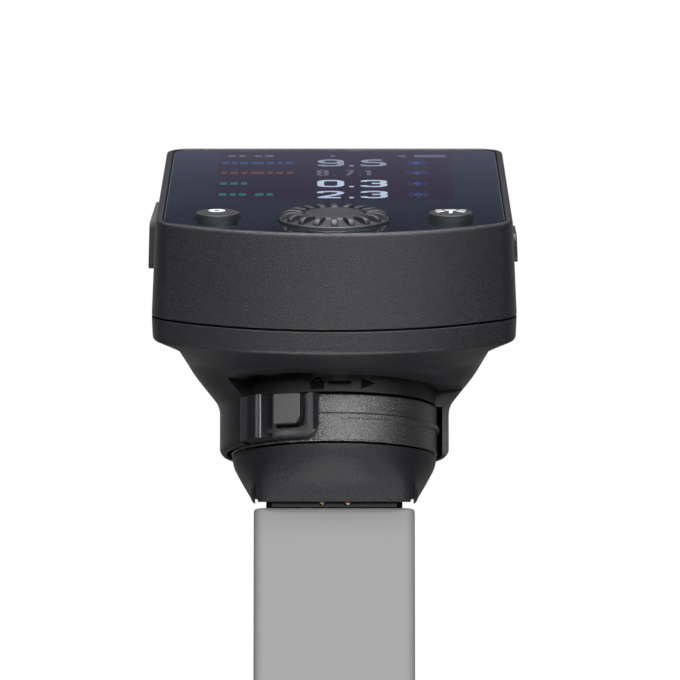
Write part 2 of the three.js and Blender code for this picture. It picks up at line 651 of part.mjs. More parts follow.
function footPlate() {
  const { halfX, halfY, top, chamfer } = PLATE;
  const outline = new THREE.Shape([
    new THREE.Vector2(halfX, chamfer - halfY), new THREE.Vector2(halfX, halfY - chamfer),
    new THREE.Vector2(halfX - chamfer, halfY), new THREE.Vector2(chamfer - halfX, halfY),
    new THREE.Vector2(-halfX, halfY - chamfer), new THREE.Vector2(-halfX, chamfer - halfY),
    new THREE.Vector2(chamfer - halfX, -halfY), new THREE.Vector2(halfX - chamfer, -halfY),
  ]);
  let body = cut(toManifold(raised(outline, 0, top)), rod(BLOCK_RADIUS + 0.2, -1, 3, 0, 0, 32),
    rod(PIN_RADIUS + 0.25, -1, 3, 0, PIN_Y, 16));
  for (const [x, y] of footScrewPlaces()) {
    const sink = turned([[0, -0.2], [1.95, -0.2], [1.95, 0], [1.1, 0.95], [1.1, 3], [0, 3]], 16);
    body = cut(body, sink.translate(x, y, 0));
  }
  for (const x of REAR_CONTACTS) {
    const hole = rod(0.65, 0, 2, 0, 0, 10).rotateX(Math.PI / 2);
    body = cut(body, hole.translate(x, -PLATE.halfY + 1.5, REAR_CONTACT_Z));
  }
  return toGeometry(body);
}

function rearContact(x) {
  const pin = rod(0.5, 0, 1.5, 0, 0, 10).rotateX(Math.PI / 2);
  return pin.translate(x, -PLATE.halfY + 1.3, REAR_CONTACT_Z);
}

function footScrew() {
  return turned([[0, 0.1], [1.75, 0.1], [0.85, 1.0], [0.85, 9.3], [0, 9.3]], 14);
}

function dataContactPlaces() {
  return DATA_ANGLES.map((a) => [DATA_RING * Math.cos(radians(a)), DATA_RING * Math.sin(radians(a))]);
}

function contactBlock() {
  const plug = turned([
    [0, 0], [BLOCK_RADIUS, 0], [BLOCK_RADIUS, BLOCK_SEAT], [BLOCK_FLANGE, BLOCK_SEAT],
    [BLOCK_FLANGE, BLOCK_TOP], [0, BLOCK_TOP],
  ], 32);
  let body = cut(toManifold(plug), rod(1.6, -1, BLOCK_TOP - 0.7, 0, CENTRE_CONTACT_Y, 18));
  for (const [x, y] of dataContactPlaces()) body = cut(body, rod(0.75, -1, BLOCK_TOP - 0.7, x, y, 12));
  return toGeometry(body);
}

function springContact(radius, around) {
  return turned([
    [0, -CONTACT_PROUD], [radius * 0.7, -CONTACT_PROUD], [radius, -CONTACT_PROUD + 0.2],
    [radius, 3.5], [0, 3.5],
  ], around);
}

// ---- Assembly -----------------------------------------------------------------------------

function finish(color, roughness, metalness = 0) {
  return new THREE.MeshStandardMaterial({ color, roughness, metalness });
}

const materials = {
  casing: finish(0x2c2d30, 0.62),
  ring: finish(0x303134, 0.5),
  lever: finish(0x26272a, 0.42),
  bowl: finish(0x242528, 0.7),
  glass: finish(0x10151f, 0.08),
  display: finish(0x14101c, 0.3),
  knob: finish(0x1b1c1e, 0.45),
  rubber: finish(0x1a1b1c, 0.85),
  inner: finish(0x1d1e20, 0.6),
  board: finish(0x123524, 0.5),
  steel: finish(0x9fa2a6, 0.35, 1),
  gold: finish(0xc79a4b, 0.3, 1),
  foil: finish(0x8a8f96, 0.45),
};

const group = new THREE.Group();
const head = new THREE.Group();
head.position.z = HEAD_HEIGHT;
head.rotation.x = radians(HEAD_TILT);
group.add(head);

function place(parent, name, geometry, material, x = 0, y = 0) {
  const mesh = new THREE.Mesh(geometry, material);
  mesh.name = name;
  mesh.position.set(x, y, 0);
  parent.add(mesh);
}

place(head, 'upper_shell', upperShell(), materials.casing);
place(group, 'lower_shell', lowerShell(), materials.casing);
place(head, 'cover_glass', coverGlass(), materials.glass);
place(head, 'display_module', displayModule(), materials.display);
place(head, 'display_ribbon', displayRibbon(), materials.inner);
place(head, 'main_board', mainBoard(), materials.board);
place(head, 'battery', battery(), materials.foil);
place(head, 'encoder_body', encoderBody(), materials.steel);
place(head, 'encoder_shaft', encoderShaft(), materials.steel, 0, DIAL_V);
place(head, 'dial_knob', dialKnob(), materials.knob, 0, DIAL_V);
place(head, 'dial_cap', dialCap(), materials.knob, 0, DIAL_V);
place(head, 'test_button', roundButton(), materials.knob, -BUTTON_X, BUTTON_V);
place(head, 'lamp_button', roundButton(), materials.knob, BUTTON_X, BUTTON_V);
place(head, 'test_switch', tactSwitch(-1), materials.inner);
place(head, 'lamp_switch', tactSwitch(1), materials.inner);
place(head, 'power_button', powerButton(), materials.knob);
place(head, 'power_switch', powerSwitch(), materials.inner);
place(head, 'port_cover', portCover(), materials.rubber);
place(head, 'usb_socket', usbSocket(), materials.steel);
place(head, 'sync_jack', syncJack(), materials.inner);
place(head, 'radio_board', radioBoard(), materials.board);
place(head, 'radio_shield', radioShield(), materials.steel);
SHELL_SCREWS.forEach(([x, v], i) => {
  place(head, `casing_screw_${i + 1}`, casingScrew(), materials.steel, x, v);
});
BOARD_SCREWS.forEach(([x, v], i) => {
  place(head, `board_screw_${i + 1}`, boardScrew(), materials.steel, x, v);
});

place(group, 'neck_core', neckCore(), materials.inner);
place(group, 'lock_ring', lockRing(), materials.ring);
place(group, 'lock_lever', lockLever(), materials.lever);
place(group, 'release_button', releaseButton(), materials.lever);
place(group, 'lock_pin', lockPin(), materials.steel);
place(group, 'foot_base', footBase(), materials.bowl);
place(group, 'foot_plate', footPlate(), materials.steel);
footScrewPlaces().forEach(([x, y], i) => {
  place(group, `foot_screw_${i + 1}`, footScrew(), materials.steel, x, y);
});
place(group, 'contact_block', contactBlock(), materials.inner);
place(group, 'centre_contact', springContact(1.35, 18), materials.gold, 0, CENTRE_CONTACT_Y);
dataContactPlaces().forEach(([x, y], i) => {
  place(group, `data_contact_${i + 1}`, springContact(0.55, 12), materials.gold, x, y);
});
REAR_CONTACTS.forEach((x, i) => {
  place(group, `rear_contact_${i + 1}`, rearContact(x), materials.gold);
});

export default group;
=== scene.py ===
"""Looks of the wireless flash trigger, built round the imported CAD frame."""

import json
import math

import bmesh
import bpy
from mathutils import Matrix, Vector


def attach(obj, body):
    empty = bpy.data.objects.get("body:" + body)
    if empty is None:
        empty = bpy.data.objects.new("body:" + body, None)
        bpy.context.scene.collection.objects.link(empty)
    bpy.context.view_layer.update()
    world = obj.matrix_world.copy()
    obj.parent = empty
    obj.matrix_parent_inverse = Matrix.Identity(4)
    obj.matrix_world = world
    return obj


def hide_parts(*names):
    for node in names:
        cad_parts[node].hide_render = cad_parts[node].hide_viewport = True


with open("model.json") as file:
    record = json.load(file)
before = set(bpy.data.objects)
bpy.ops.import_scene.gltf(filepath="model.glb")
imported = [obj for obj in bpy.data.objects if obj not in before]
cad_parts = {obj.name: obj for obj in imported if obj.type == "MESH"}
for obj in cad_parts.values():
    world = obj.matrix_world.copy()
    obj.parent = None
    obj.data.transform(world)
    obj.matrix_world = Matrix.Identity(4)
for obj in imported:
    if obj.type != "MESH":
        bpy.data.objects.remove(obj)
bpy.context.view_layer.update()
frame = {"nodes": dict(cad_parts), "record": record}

# ---- Driving dimensions, in millimetres -----------------------------------------------------

MM = 0.001
HEAD_TILT = 20.2            # degrees, the near edge lower
HEAD_HEIGHT = 32.0          # parting plane above the foot, on the neck axis
HALF_WIDTH = 24.7
NEAR_REACH = 33.0
FAR_REACH = 41.0
NEAR_ARC = 36.6
NEAR_CORNER = 5.5
FAR_CORNER = 4.0
HEAD_TOP = 13.1
LOWER_WALL = 3.26
HALF_SEAM = 0.15
WALL = 1.7
TOP_DRAFT = 0.6
RIM = 0.9
DECK = {"top": 12.05, "bottom": 10.7, "edge": 3.2, "wall": 2.3}
LIP = {"inset": 0.8, "top": 1.15}         # the upper shell's step over the lower shell's tongue
TONGUE = {"inset": 0.9, "top": 1.0}
CAVITY = {"radius": 12.9, "bottom": 19.2}
CORE_RADIUS = 11.3
GLASS_BOTTOM = 12.2
GLASS_TOP = 13.0
PRINT_LEVEL = 12.24         # the print and the display are bonded to the back of the glass
GLASS_CUT = (10.0, 15.0)    # the heights of every cutter that goes through the glass or the print
LIT_LEVELS = (PRINT_LEVEL - 0.005, PRINT_LEVEL + 0.01)

DIAL_V = -21.2
DIAL_RADIUS = 7.4
DIAL_EDGE = 13.3            # height of the hub's outer edge
DIAL_CENTRE = 14.05         # height of the hub's rim round the cap
DIAL_TOP = 14.3             # height of the ribs
DIAL_RIBS = 18
RIB = {"inner": 4.4, "outer": 7.12, "half_width": 0.42}
CAP = {"radius": 4.0, "bottom": 13.55, "middle": 13.8}
BUTTON_X = 15.75
BUTTON_V = -19.5
BUTTON_RADIUS = 2.95
BUTTON_TOP = 13.83
DIAL_BOTTOM = 11.3
DIAL_SLEEVE = {"radius": 1.8, "top": 13.0}      # the blind hole in the middle of its underside
BUTTON_STEM = {"radius": 1.0, "bottom": 9.55}
BUTTON_FLANGE = {"radius": 3.45, "bottom": 10.0, "top": 10.45}
SCREEN = {"half_width": 16.5, "near": -3.7, "far": 37.9}
PANEL = {"half_width": 17.7, "near": -4.0, "far": 38.5, "bottom": 9.8}

PORT = {"v": 5.0, "w": 6.5, "half_length": 9.0, "half_height": 3.3, "inner": -23.75, "outer": -25.65}
USB_V = 8.6
JACK_V = -0.4
PORT_W = 7.1
POWER = {"v": -2.0, "w": 6.5, "half_length": 4.0, "half_height": 2.0, "inner": 21.75, "outer": 25.25}
SIDE_GAP = 0.12

COLLAR_RADIUS = 15.8
COLLAR_BORE = 14.9
COLLAR_BOTTOM = 8.5
COLLAR_TOP = 15.3
FUNNEL_RADIUS = 19.4
FUNNEL_HEIGHT = 19.7
FUNNEL_SLOPE = 0.114
WINDOW_TOP = 17.55
WINDOW = (-52.5, 88.0)      # degrees about +Z, counted from the near side
BOSS_RADIUS = 14.0
BOSS_BOTTOM = 15.2
RING = {"inner": 12.7, "outer": 14.2, "bottom": 8.36, "top": 14.88}
BAND = {"radius": 14.5, "bottom": 11.5, "top": 12.25}
LEVER = {"start": -50.0, "pad_start": -29.5, "pad_end": -16.0, "frame_start": -13.0, "end": -8.0}
LEVER_LOW = 8.8
LEVER_HIGH = 14.75
LEVER_BACK = 14.65
LEVER_FLOOR = 15.4
LEVER_FRAME = 16.2
LEVER_GRIP = 17.7
LEVER_CORNER = 1.9
FOOT_SECTIONS = [           # half width, half depth, squareness, height
    (10.9, 10.3, 10.0, 0.65), (11.4, 11.3, 5.5, 2.9), (12.8, 12.7, 2.8, 4.9),
    (13.85, 13.85, 2.0, 6.7), (14.1, 14.1, 2.0, 8.06),
]
FOOT_REAR = -9.3            # everything nearer the far side is cut away below the bowl
UNDERSIDE = 2.9
RAIL_SLOT = {"half_width": 11.0, "top": 3.6}
SHOE_NECK = {"half_x": 6.2, "half_y": 8.9, "bottom": 2.1, "top": 4.2}
CORE_SEAT = 5.0
FLANGE_SEAT = {"radius": 5.6, "bottom": 3.85}
BLOCK_HOLE = 4.95
PIN_HOLE = {"radius": 1.05, "y": 6.8}
SEATS_TOP = 12.0            # above the bowl, so that every seat is open upward


# Where a drawing's X, Y and Z point: an upright drawing on the neck, and one on the head's side.
UPRIGHT = Matrix(((1, 0, 0, 0), (0, 0, -1, 0), (0, 1, 0, 0), (0, 0, 0, 1)))
SIDEWAYS = Matrix(((0, 0, 1, 0), (1, 0, 0, 0), (0, 1, 0, 0), (0, 0, 0, 1)))
HEAD = Matrix.Translation((0, 0, HEAD_HEIGHT)) @ Matrix.Rotation(math.radians(HEAD_TILT), 4, "X")


# ---- Points and outlines --------------------------------------------------------------------

def polar(radius, azimuth, z=0.0):
    """A point about the neck axis. Azimuth 0 is the near side, and it grows towards +X."""
    a = math.radians(azimuth)
    return Vector((radius * math.sin(a), -radius * math.cos(a), z))


def round_points(radius, turns, x=0.0, y=0.0):
    """The (x, y) pairs on a circle at some angles."""
    return [(x + radius * math.cos(a), y + radius * math.sin(a)) for a in turns]


def flat(points):
    """The (x, y) pairs of some points."""
    return [(p.x, p.y) for p in points]


def arc(cx, cy, radius, start, end, steps):
    """Points on an arc, without its last one."""
    turns = [start + (end - start) * i / steps for i in range(steps)]
    return [Vector((cx + radius * math.cos(a), cy + radius * math.sin(a), 0)) for a in turns]


def line(start, end, steps):
    """Points on a straight line, without its last one."""
    return [start.lerp(end, i / steps) for i in range(steps)]


def slab_outline(inset, w):
    """The slab's outline in its own plane, counter-clockwise from the near edge's apex."""
    half = HALF_WIDTH - inset
    near = max(NEAR_CORNER - inset, 0.4)
    far = max(FAR_CORNER - inset, 0.4)
    radius = NEAR_ARC - inset
    arc_v = NEAR_ARC - NEAR_REACH
    corner_x = half - near
    corner_v = arc_v - math.sqrt((radius - near) ** 2 - corner_x ** 2)
    tangent = math.atan2(corner_v - arc_v, corner_x)
    far_v = FAR_REACH - inset
    side_top = far_v - far
    pi = math.pi
    points = arc(0, arc_v, radius, -pi / 2, tangent, 18)
    points += arc(corner_x, corner_v, near, tangent, 0, 15)
    points += line(Vector((half, corner_v, 0)), Vector((half, side_top, 0)), 27)
    points += arc(half - far, side_top, far, 0, pi / 2, 12)
    points += line(Vector((half - far, far_v, 0)), Vector((far - half, far_v, 0)), 18)
    points += arc(far - half, side_top, far, pi / 2, pi, 12)
    points += line(Vector((-half, side_top, 0)), Vector((-half, corner_v, 0)), 27)
    points += arc(-corner_x, corner_v, near, pi, pi - tangent, 15)
    points += arc(0, arc_v, radius, pi - tangent, 1.5 * pi, 18)
    return [Vector((p.x, p.y, w)) for p in points]


def tilted(points):
    """Points given in the head's plane, put where the tilted head has them."""
    return [HEAD @ p for p in points]


def head_outline(inset, w):
    """The slab's outline where the tilted head has it."""
    return tilted(slab_outline(inset, w))


def neck_circle(radius, height, slope=0.0):
    """A circle about the neck axis whose points lie at the azimuths of the slab's outline."""
    points = []
    for p in head_outline(0, 0):
        a = math.atan2(p.y, p.x)
        y = radius * math.sin(a)
        points.append(Vector((radius * math.cos(a), y, height + slope * y)))
    return points


def foot_section(half_x, half_y, squareness, z, steps=144):
    """An outline between a circle (squareness 2) and a rounded square about the neck axis."""
    points = []
    for i in range(steps):
        c, s = math.cos(2 * math.pi * i / steps), math.sin(2 * math.pi * i / steps)
        x = half_x * math.copysign(abs(c) ** (2 / squareness), c)
        y = half_y * math.copysign(abs(s) ** (2 / squareness), s)
        points.append(Vector((x, y, z)))
    return points


def rounded_corner(before, corner, after, reach, steps):
    """A soft bend through a corner, starting reach away from it on both sides."""
    a = corner.lerp(before, min(reach / max((before - corner).length, 1e-6), 0.48))
    b = corner.lerp(after, min(reach / max((after - corner).length, 1e-6), 0.48))
    bend = []
    for i in range(steps + 1):
        t = i / steps
        bend.append(a * (1 - t) ** 2 + corner * (2 * t * (1 - t)) + b * t ** 2)
    return bend


def soften(path, reaches, closed=False, steps=4):
    """A line of points with each corner rounded by its own reach; 0 leaves it sharp."""
    out = []
    count = len(path)
    for i, (point, reach) in enumerate(zip(path, reaches)):
        end = not closed and i in (0, count - 1)
        if end or reach <= 0:
            out.append(point.copy())
        else:
            out += rounded_corner(path[i - 1], point, path[(i + 1) % count], reach, steps)
    return out


# ---- Mesh makers ----------------------------------------------------------------------------

def new_object(name, vertices, faces):
    """A mesh object from points in millimetres."""
    mesh = bpy.data.meshes.new(name)
    mesh.from_pydata([tuple(v * MM) for v in vertices], [], faces)
    mesh.update()
    thing = bpy.data.objects.new(name, mesh)
    bpy.context.scene.collection.objects.link(thing)
    return thing


def wall_faces(low, high, count):
    """The faces between two outlines whose points are numbered from low and from high."""
    turns = [(i, (i + 1) % count) for i in range(count)]
    return [(low + i, low + j, high + j, high + i) for i, j in turns]


def stacked(name, sections):
    """A closed body through outlines of equal point count, listed from the bottom up."""
    count = len(sections[0])
    vertices = [p for section in sections for p in section]
    top = (len(sections) - 1) * count
    faces = [tuple(reversed(range(count)))]
    for low in range(0, top, count):
        faces += wall_faces(low, low + count, count)
    faces.append(tuple(range(top, top + count)))
    return new_object(name, vertices, faces)


def softened_stack(name, sections, reaches, steps=4):
    """As stacked, with the walls' bends between the outlines rounded."""
    columns = [soften([s[i] for s in sections], reaches, steps=steps) for i in range(len(sections[0]))]
    return stacked(name, [[column[row] for column in columns] for row in range(len(columns[0]))])


def swept(name, profile):
    """A closed ring: a closed profile of (inset, height) points carried round the head."""
    loops = [head_outline(inset, height) for inset, height in profile]
    count = len(loops[0])
    vertices = [p for loop in loops for p in loop]
    faces = []
    for low in range(0, len(vertices), count):
        faces += wall_faces(low, (low + count) % len(vertices), count)
    return new_object(name, vertices, faces)


def turned(name, profile, reaches=None, steps=96, bend=3, closed=False):
    """A body of revolution about +Z from (radius, height) points, listed from the bottom up."""
    path = [Vector((r, z, 0)) for r, z in profile]
    if reaches:
        path = soften(path, reaches, closed=closed, steps=bend)
    vertices, faces, rows = [], [], []
    for p in path:
        if p.x < 1e-6:
            rows.append([len(vertices)])
            vertices.append(Vector((0, 0, p.y)))
        else:
            rows.append(list(range(len(vertices), len(vertices) + steps)))
            angles = [2 * math.pi * i / steps for i in range(steps)]
            vertices += [Vector((p.x * math.cos(a), p.x * math.sin(a), p.y)) for a in angles]
    pairs = list(zip(rows, rows[1:])) + ([(rows[-1], rows[0])] if closed else [])
    for low, high in pairs:
        for i in range(steps):
            j = (i + 1) % steps
            ring = [low[i % len(low)], low[j % len(low)], high[j % len(high)], high[i % len(high)]]
            face = tuple(dict.fromkeys(ring))
            if len(face) > 2:
                faces.append(face)
    return new_object(name, vertices, faces)


def prism(name, outline, low, high):
    """A flat outline of (x, y) points, counter-clockwise, raised from low to high."""
    bottom = [Vector((x, y, low)) for x, y in outline]
    top = [Vector((x, y, high)) for x, y in outline]
    return stacked(name, [bottom, top])


def block(name, x, y, z):
    (x0, x1), (y0, y1), (z0, z1) = x, y, z
    return prism(name, [(x0, y0), (x1, y0), (x1, y1), (x0, y1)], z0, z1)


def cylinder(name, radius, low, high, x=0.0, y=0.0, steps=64):
    angles = [2 * math.pi * i / steps for i in range(steps)]
    return prism(name, round_points(radius, angles, x, y), low, high)


def pill(half_x, half_y, radius, steps=8):
    """A rectangle with round corners, counter-clockwise."""
    points = []
    corners = ((1, 1), (-1, 1), (-1, -1), (1, -1))
    for quarter, (sx, sy) in enumerate(corners):
        cx, cy = sx * (half_x - radius), sy * (half_y - radius)
        turns = [math.pi / 2 * (quarter + i / steps) for i in range(steps + 1)]
        points += round_points(radius, turns, cx, cy)
    return points


def sector(inner, outer, start, end, steps=24):
    """Part of a ring between two azimuths, counter-clockwise."""
    angles = [start + (end - start) * i / steps for i in range(steps + 1)]
    return flat([polar(outer, a) for a in angles] + [polar(inner, a) for a in reversed(angles)])


def soft_outline(corners, reaches, steps):
    """An outline through (x, y) corners, each rounded by its own reach."""
    path = [Vector((x, y, 0)) for x, y in corners]
    return flat(soften(path, reaches, closed=True, steps=steps))


def soft_box(left, right, low, high, reaches):
    """A rectangle whose corners are rounded each by its own reach, from the lower left one."""
    return soft_outline([(left, low), (right, low), (right, high), (left, high)], reaches, 8)


def moved(thing, matrix):
    """Bakes a transform in millimetres into the mesh."""
    scale = Matrix.Scale(MM, 4)
    thing.data.transform(scale @ matrix @ scale.inverted())
    return thing


def combine(target, tool, operation):
    """Adds or cuts with a second solid, which is used up."""
    modifier = target.modifiers.new("solid", "BOOLEAN")
    modifier.operation = operation
    modifier.solver = "EXACT"
    modifier.object = tool
    apply_modifiers(target)
    bpy.data.objects.remove(tool, do_unlink=True)


def cut(target, *tools):
    for tool in tools:
        combine(target, tool, "DIFFERENCE")


def join(target, *tools):
    for tool in tools:
        combine(target, tool, "UNION")


def apply_modifiers(thing):
    evaluated = thing.evaluated_get(bpy.context.evaluated_depsgraph_get())
    mesh = bpy.data.meshes.new_from_object(evaluated)
    thing.modifiers.clear()
    old = thing.data
    thing.data = mesh
    bpy.data.meshes.remove(old)


def clean(thing, angle=0.5):
    """Merges doubled points and flat faces, so that a bevel has clean edges to work on."""
    bm = bmesh.new()
    bm.from_mesh(thing.data)
    bmesh.ops.remove_doubles(bm, verts=bm.verts, dist=2e-6)
    bmesh.ops.dissolve_limit(bm, angle_limit=math.radians(angle), verts=bm.verts, edges=bm.edges)
    bm.to_mesh(thing.data)
    bm.free()


def bevel(thing, width, angle=35, segments=3):
    """Rounds every edge sharper than the angle."""
    modifier = thing.modifiers.new("edges", "BEVEL")
    modifier.width = width * MM
    modifier.segments = segments
    modifier.limit_method = "ANGLE"
    modifier.angle_limit = math.radians(angle)
    apply_modifiers(thing)


def shade(thing, angle=38):
    """Smooth shading that keeps edges sharper than the angle."""
    thing.data.shade_smooth()
    thing.data.set_sharp_from_angle(angle=math.radians(angle))
    modifier = thing.modifiers.new("normals", "WEIGHTED_NORMAL")
    modifier.keep_sharp = True
    apply_modifiers(thing)


def piece(thing, body, material, slot, *nodes, angle=38):
    """Hands a finished mesh over: its material, its body and the CAD nodes it stands for. Its slot argument
    is not used.
    """
    thing.data.materials.clear()
    thing.data.materials.append(material)
    shade(thing, angle)
    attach(thing, body)
    if nodes:
        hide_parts(*nodes)


def copy_of(node, name):
    """A copy of a CAD node's mesh, free to be refined."""
    source = frame["nodes"][node]
    thing = bpy.data.objects.new(name, source.data.copy())
    thing.data.transform(source.matrix_world)
    bpy.context.scene.collection.objects.link(thing)
    return thing


def refined(node, body, material, slot, width, angle=35, segments=2):
    """A CAD node whose shape is right, with its edges rounded."""
    thing = copy_of(node, node + "_fine")
    clean(thing)
    bevel(thing, width, angle, segments)
    piece(thing, body, material, slot, node)


# ---- Materials ------------------------------------------------------------------------------

def add_node(tree, kind, **values):
    """A node of the tree, with fixed numbers for its inputs."""
    node = tree.nodes.new("ShaderNode" + kind)
    fix_inputs(node, values)
    return node


def fix_inputs(node, values):
    """Fixed values for a node's inputs, each named in lower case with underscores."""
    for key, value in values.items():
        socket = node.inputs[key.replace("_", " ").title().replace("Ior", "IOR")]
        socket.default_value = (*value, 1.0) if isinstance(value, tuple) else value


def colour_ramp(tree, source, stops):
    """A colour read off a ramp of (place, colour) stops by a value of 0..1."""
    node = add_node(tree, "ValToRGB")
    elements = node.color_ramp.elements
    while len(elements) < len(stops):
        elements.new(0.5)
    for element, (at, colour) in zip(elements, stops):
        element.position = at
        element.color = (*colour, 1.0)
    tree.links.new(source, node.inputs["Fac"])
    return node.outputs["Color"]


NOISE_RANGE = (0.3, 0.7)    # where most of a noise's values lie


class Nodes:
    """Short names for building one material's node tree."""

    def __init__(self, name):
        self.material = bpy.data.materials.new(name)
        self.material.use_nodes = True
        self.tree = self.material.node_tree
        self.shader = self.tree.nodes["Principled BSDF"]
        self.place = self.add("TexCoord").outputs["Object"]

    def add(self, kind, **values):
        return add_node(self.tree, kind, **values)

    def link(self, a, b):
        self.tree.links.new(a, b)

    def drive(self, name, source):
        """Lets a value of the tree steer one of the shader's inputs."""
        self.link(source, self.shader.inputs[name])

    def noise(self, scale, detail=3.0, roughness=0.55):
        node = self.add("TexNoise", scale=scale, detail=detail, roughness=roughness)
        self.link(self.place, node.inputs["Vector"])
        return node.outputs["Fac"]

    def cells(self, scale):
        node = self.add("TexVoronoi", scale=scale)
        self.link(self.place, node.inputs["Vector"])
        return node.outputs["Distance"]

    def ramp(self, source, stops):
        return colour_ramp(self.tree, source, stops)

    def spread(self, source, low, high, start=0.0, end=1.0):
        """Maps a value from start..end to low..high."""
        node = self.add("MapRange", from_min=start, from_max=end, to_min=low, to_max=high)
        self.link(source, node.inputs["Value"])
        return node.outputs["Result"]

    def mix(self, factor, first, second):
        node = self.add("Mix")
        node.data_type = "RGBA"
        self.link(factor, node.inputs["Factor"])
        for socket, value in ((node.inputs["A"], first), (node.inputs["B"], second)):
            if isinstance(value, tuple):
                socket.default_value = (*value, 1.0)
            else:
                self.link(value, socket)
        return node.outputs["Result"]

    def bump(self, height, strength, distance):
        node = self.add("Bump", strength=strength, distance=distance * MM)
        self.link(height, node.inputs["Height"])
        self.drive("Normal", node.outputs["Normal"])

    def set(self, **values):
        fix_inputs(self.shader, values)


def grained_plastic(name, colour, contrast, grain_mm, roughness, bump, speck, gloss=0.5):
    """Moulded plastic with a spark-eroded grain, a slow colour drift and pale specks."""
    n = Nodes(name)
    grain = n.noise(1000 / grain_mm, 3.0, 0.6)
    drift = n.noise(70, 2.0)
    dark, light = shaded(colour, 1 - contrast), shaded(colour, 1 + contrast)
    tone = n.mix(n.spread(grain, 0, 1, *NOISE_RANGE), dark, light)
    aged = n.mix(n.spread(drift, 0, 0.12, 0.35, 0.65), tone, shaded(colour, 2.0))
    dots = n.spread(n.noise(1000 / (grain_mm * 1.4), 1.0), 0, speck, 0.64, 0.72)
    n.drive("Base Color", n.mix(dots, aged, (0.3, 0.3, 0.3)))
    n.drive("Roughness", n.spread(grain, roughness - 0.06, roughness + 0.08, *NOISE_RANGE))
    n.set(specular_ior_level=gloss)
    n.bump(grain, bump, grain_mm * 0.5)
    return n.material


def shaded(colour, factor):
    """A colour made darker or paler."""
    return tuple(min(c * factor, 1.0) for c in colour)


def smooth_plastic(name, colour, roughness):
    """Satin plastic with faint handling marks in its gloss."""
    n = Nodes(name)
    wear = n.noise(320, 5.0, 0.7)
    fine = n.noise(5200, 2.0)
    n.drive("Base Color", n.mix(n.spread(wear, 0, 1, 0.4, 0.75), colour, shaded(colour, 1.25)))
    n.drive("Roughness", n.spread(wear, roughness - 0.03, roughness + 0.03, *NOISE_RANGE))
    n.bump(fine, 0.12, 0.03)
    return n.material


def metal(name, colour, roughness, grain=0.2):
    """Plated metal with fine brushing."""
    n = Nodes(name)
    stretch = n.add("Mapping")
    stretch.inputs["Scale"].default_value = (1.0, 0.06, 1.0)
    n.link(n.place, stretch.inputs["Vector"])
    n.place = stretch.outputs["Vector"]
    lines = n.noise(9000, 3.0, 0.7)
    n.drive("Base Color", n.mix(n.spread(lines, 0, 1, *NOISE_RANGE), shaded(colour, 0.8), colour))
    n.drive("Roughness", n.spread(lines, roughness - 0.06, roughness + 0.1, *NOISE_RANGE))
    n.set(metallic=1.0)
    n.bump(lines, grain, 0.01)
    return n.material


def clear_glass():
    """The cover glass, a little uneven where it has been wiped."""
    n = Nodes("clear_glass")
    n.set(base_color=(0.93, 0.96, 1.0), ior=1.5, transmission_weight=1.0)
    smear = n.noise(60, 3.0)
    n.drive("Roughness", n.spread(smear, 0.01, 0.035, 0.35, 0.7))
    return n.material


def glowing(name, colour, strength=1.0):
    """A lit area of the display, uneven by the grid of its dots."""
    n = Nodes(name)
    n.set(base_color=(0.002, 0.002, 0.003), roughness=0.9, specular_ior_level=0.02,
          emission_strength=strength)
    dots = n.noise(4000, 2.0)
    tone = n.mix(n.spread(dots, 0, 1, *NOISE_RANGE), shaded(colour, 0.85), shaded(colour, 1.1))
    n.drive("Emission Color", tone)
    return n.material


def bonded_print():
    """The dark print behind the glass. It is bonded on, so it has no gloss of its own."""
    n = Nodes("glass_print")
    cloud = n.noise(45, 2.0)
    tone = n.mix(n.spread(cloud, 0, 1, 0.35, 0.65), (0.008, 0.0175, 0.02), (0.0095, 0.0195, 0.0225))
    n.drive("Base Color", tone)
    n.set(roughness=0.9, specular_ior_level=0.02)
    return n.material


def circuit_board():
    """Green solder mask with darker and paler patches."""
    n = Nodes("circuit_board")
    tracks = n.cells(700)
    n.drive("Base Color", n.ramp(tracks, [(0.0, (0.012, 0.09, 0.045)), (0.35, (0.006, 0.05, 0.026))]))
    n.set(roughness=0.35)
    n.bump(tracks, 0.2, 0.03)
    return n.material


def battery_foil():
    """The creased foil round the battery."""
    n = Nodes("battery_foil")
    creases = n.noise(400, 4.0, 0.6)
    n.drive("Base Color", n.ramp(creases, [(0.3, (0.33, 0.34, 0.36)), (0.7, (0.46, 0.47, 0.5))]))
    n.set(metallic=0.9, roughness=0.42)
    n.bump(creases, 0.4, 0.15)
    return n.material


def soft_rubber():
    """Matt rubber with a little dust."""
    n = Nodes("soft_rubber")
    grain = n.noise(7000, 3.0)
    dust = n.ramp(n.noise(2600, 3.0), [(0.62, (0.014, 0.014, 0.015)), (0.75, (0.05, 0.05, 0.052))])
    n.drive("Base Color", dust)
    n.drive("Roughness", n.spread(grain, 0.72, 0.9, *NOISE_RANGE))
    n.set(sheen_weight=0.15)
    n.bump(grain, 0.35, 0.03)
    return n.material


CASING = grained_plastic(
    "casing_plastic", (0.007, 0.0072, 0.0092),
    contrast=0.7, grain_mm=0.17, roughness=0.42, bump=0.85, speck=0.035)
RING_PLASTIC = grained_plastic(
    "ring_plastic", (0.02, 0.02, 0.0215),
    contrast=0.2, grain_mm=0.2, roughness=0.28, bump=1.0, speck=0.02, gloss=1.0)
BOWL_PLASTIC = grained_plastic(
    "bowl_plastic", (0.006, 0.0062, 0.0082),
    contrast=0.7, grain_mm=0.15, roughness=0.5, bump=0.9, speck=0.1, gloss=0.4)
LEVER_PLASTIC = smooth_plastic("lever_plastic", (0.014, 0.0143, 0.017), 0.33)
KNOB_PLASTIC = smooth_plastic("knob_plastic", (0.014, 0.0143, 0.0165), 0.48)
INNER_PLASTIC = smooth_plastic("inner_plastic", (0.012, 0.012, 0.013), 0.5)
RUBBER = soft_rubber()
STEEL = metal("plated_steel", (0.42, 0.42, 0.44), 0.34)
# Painted shade: the foot plate is bright steel, drawn near black as it looks in the shade of the shoe it
# slides into.
SHADE_DARKENED_STEEL = metal("steel_darkened_as_shade", (0.02, 0.02, 0.021), 0.5)
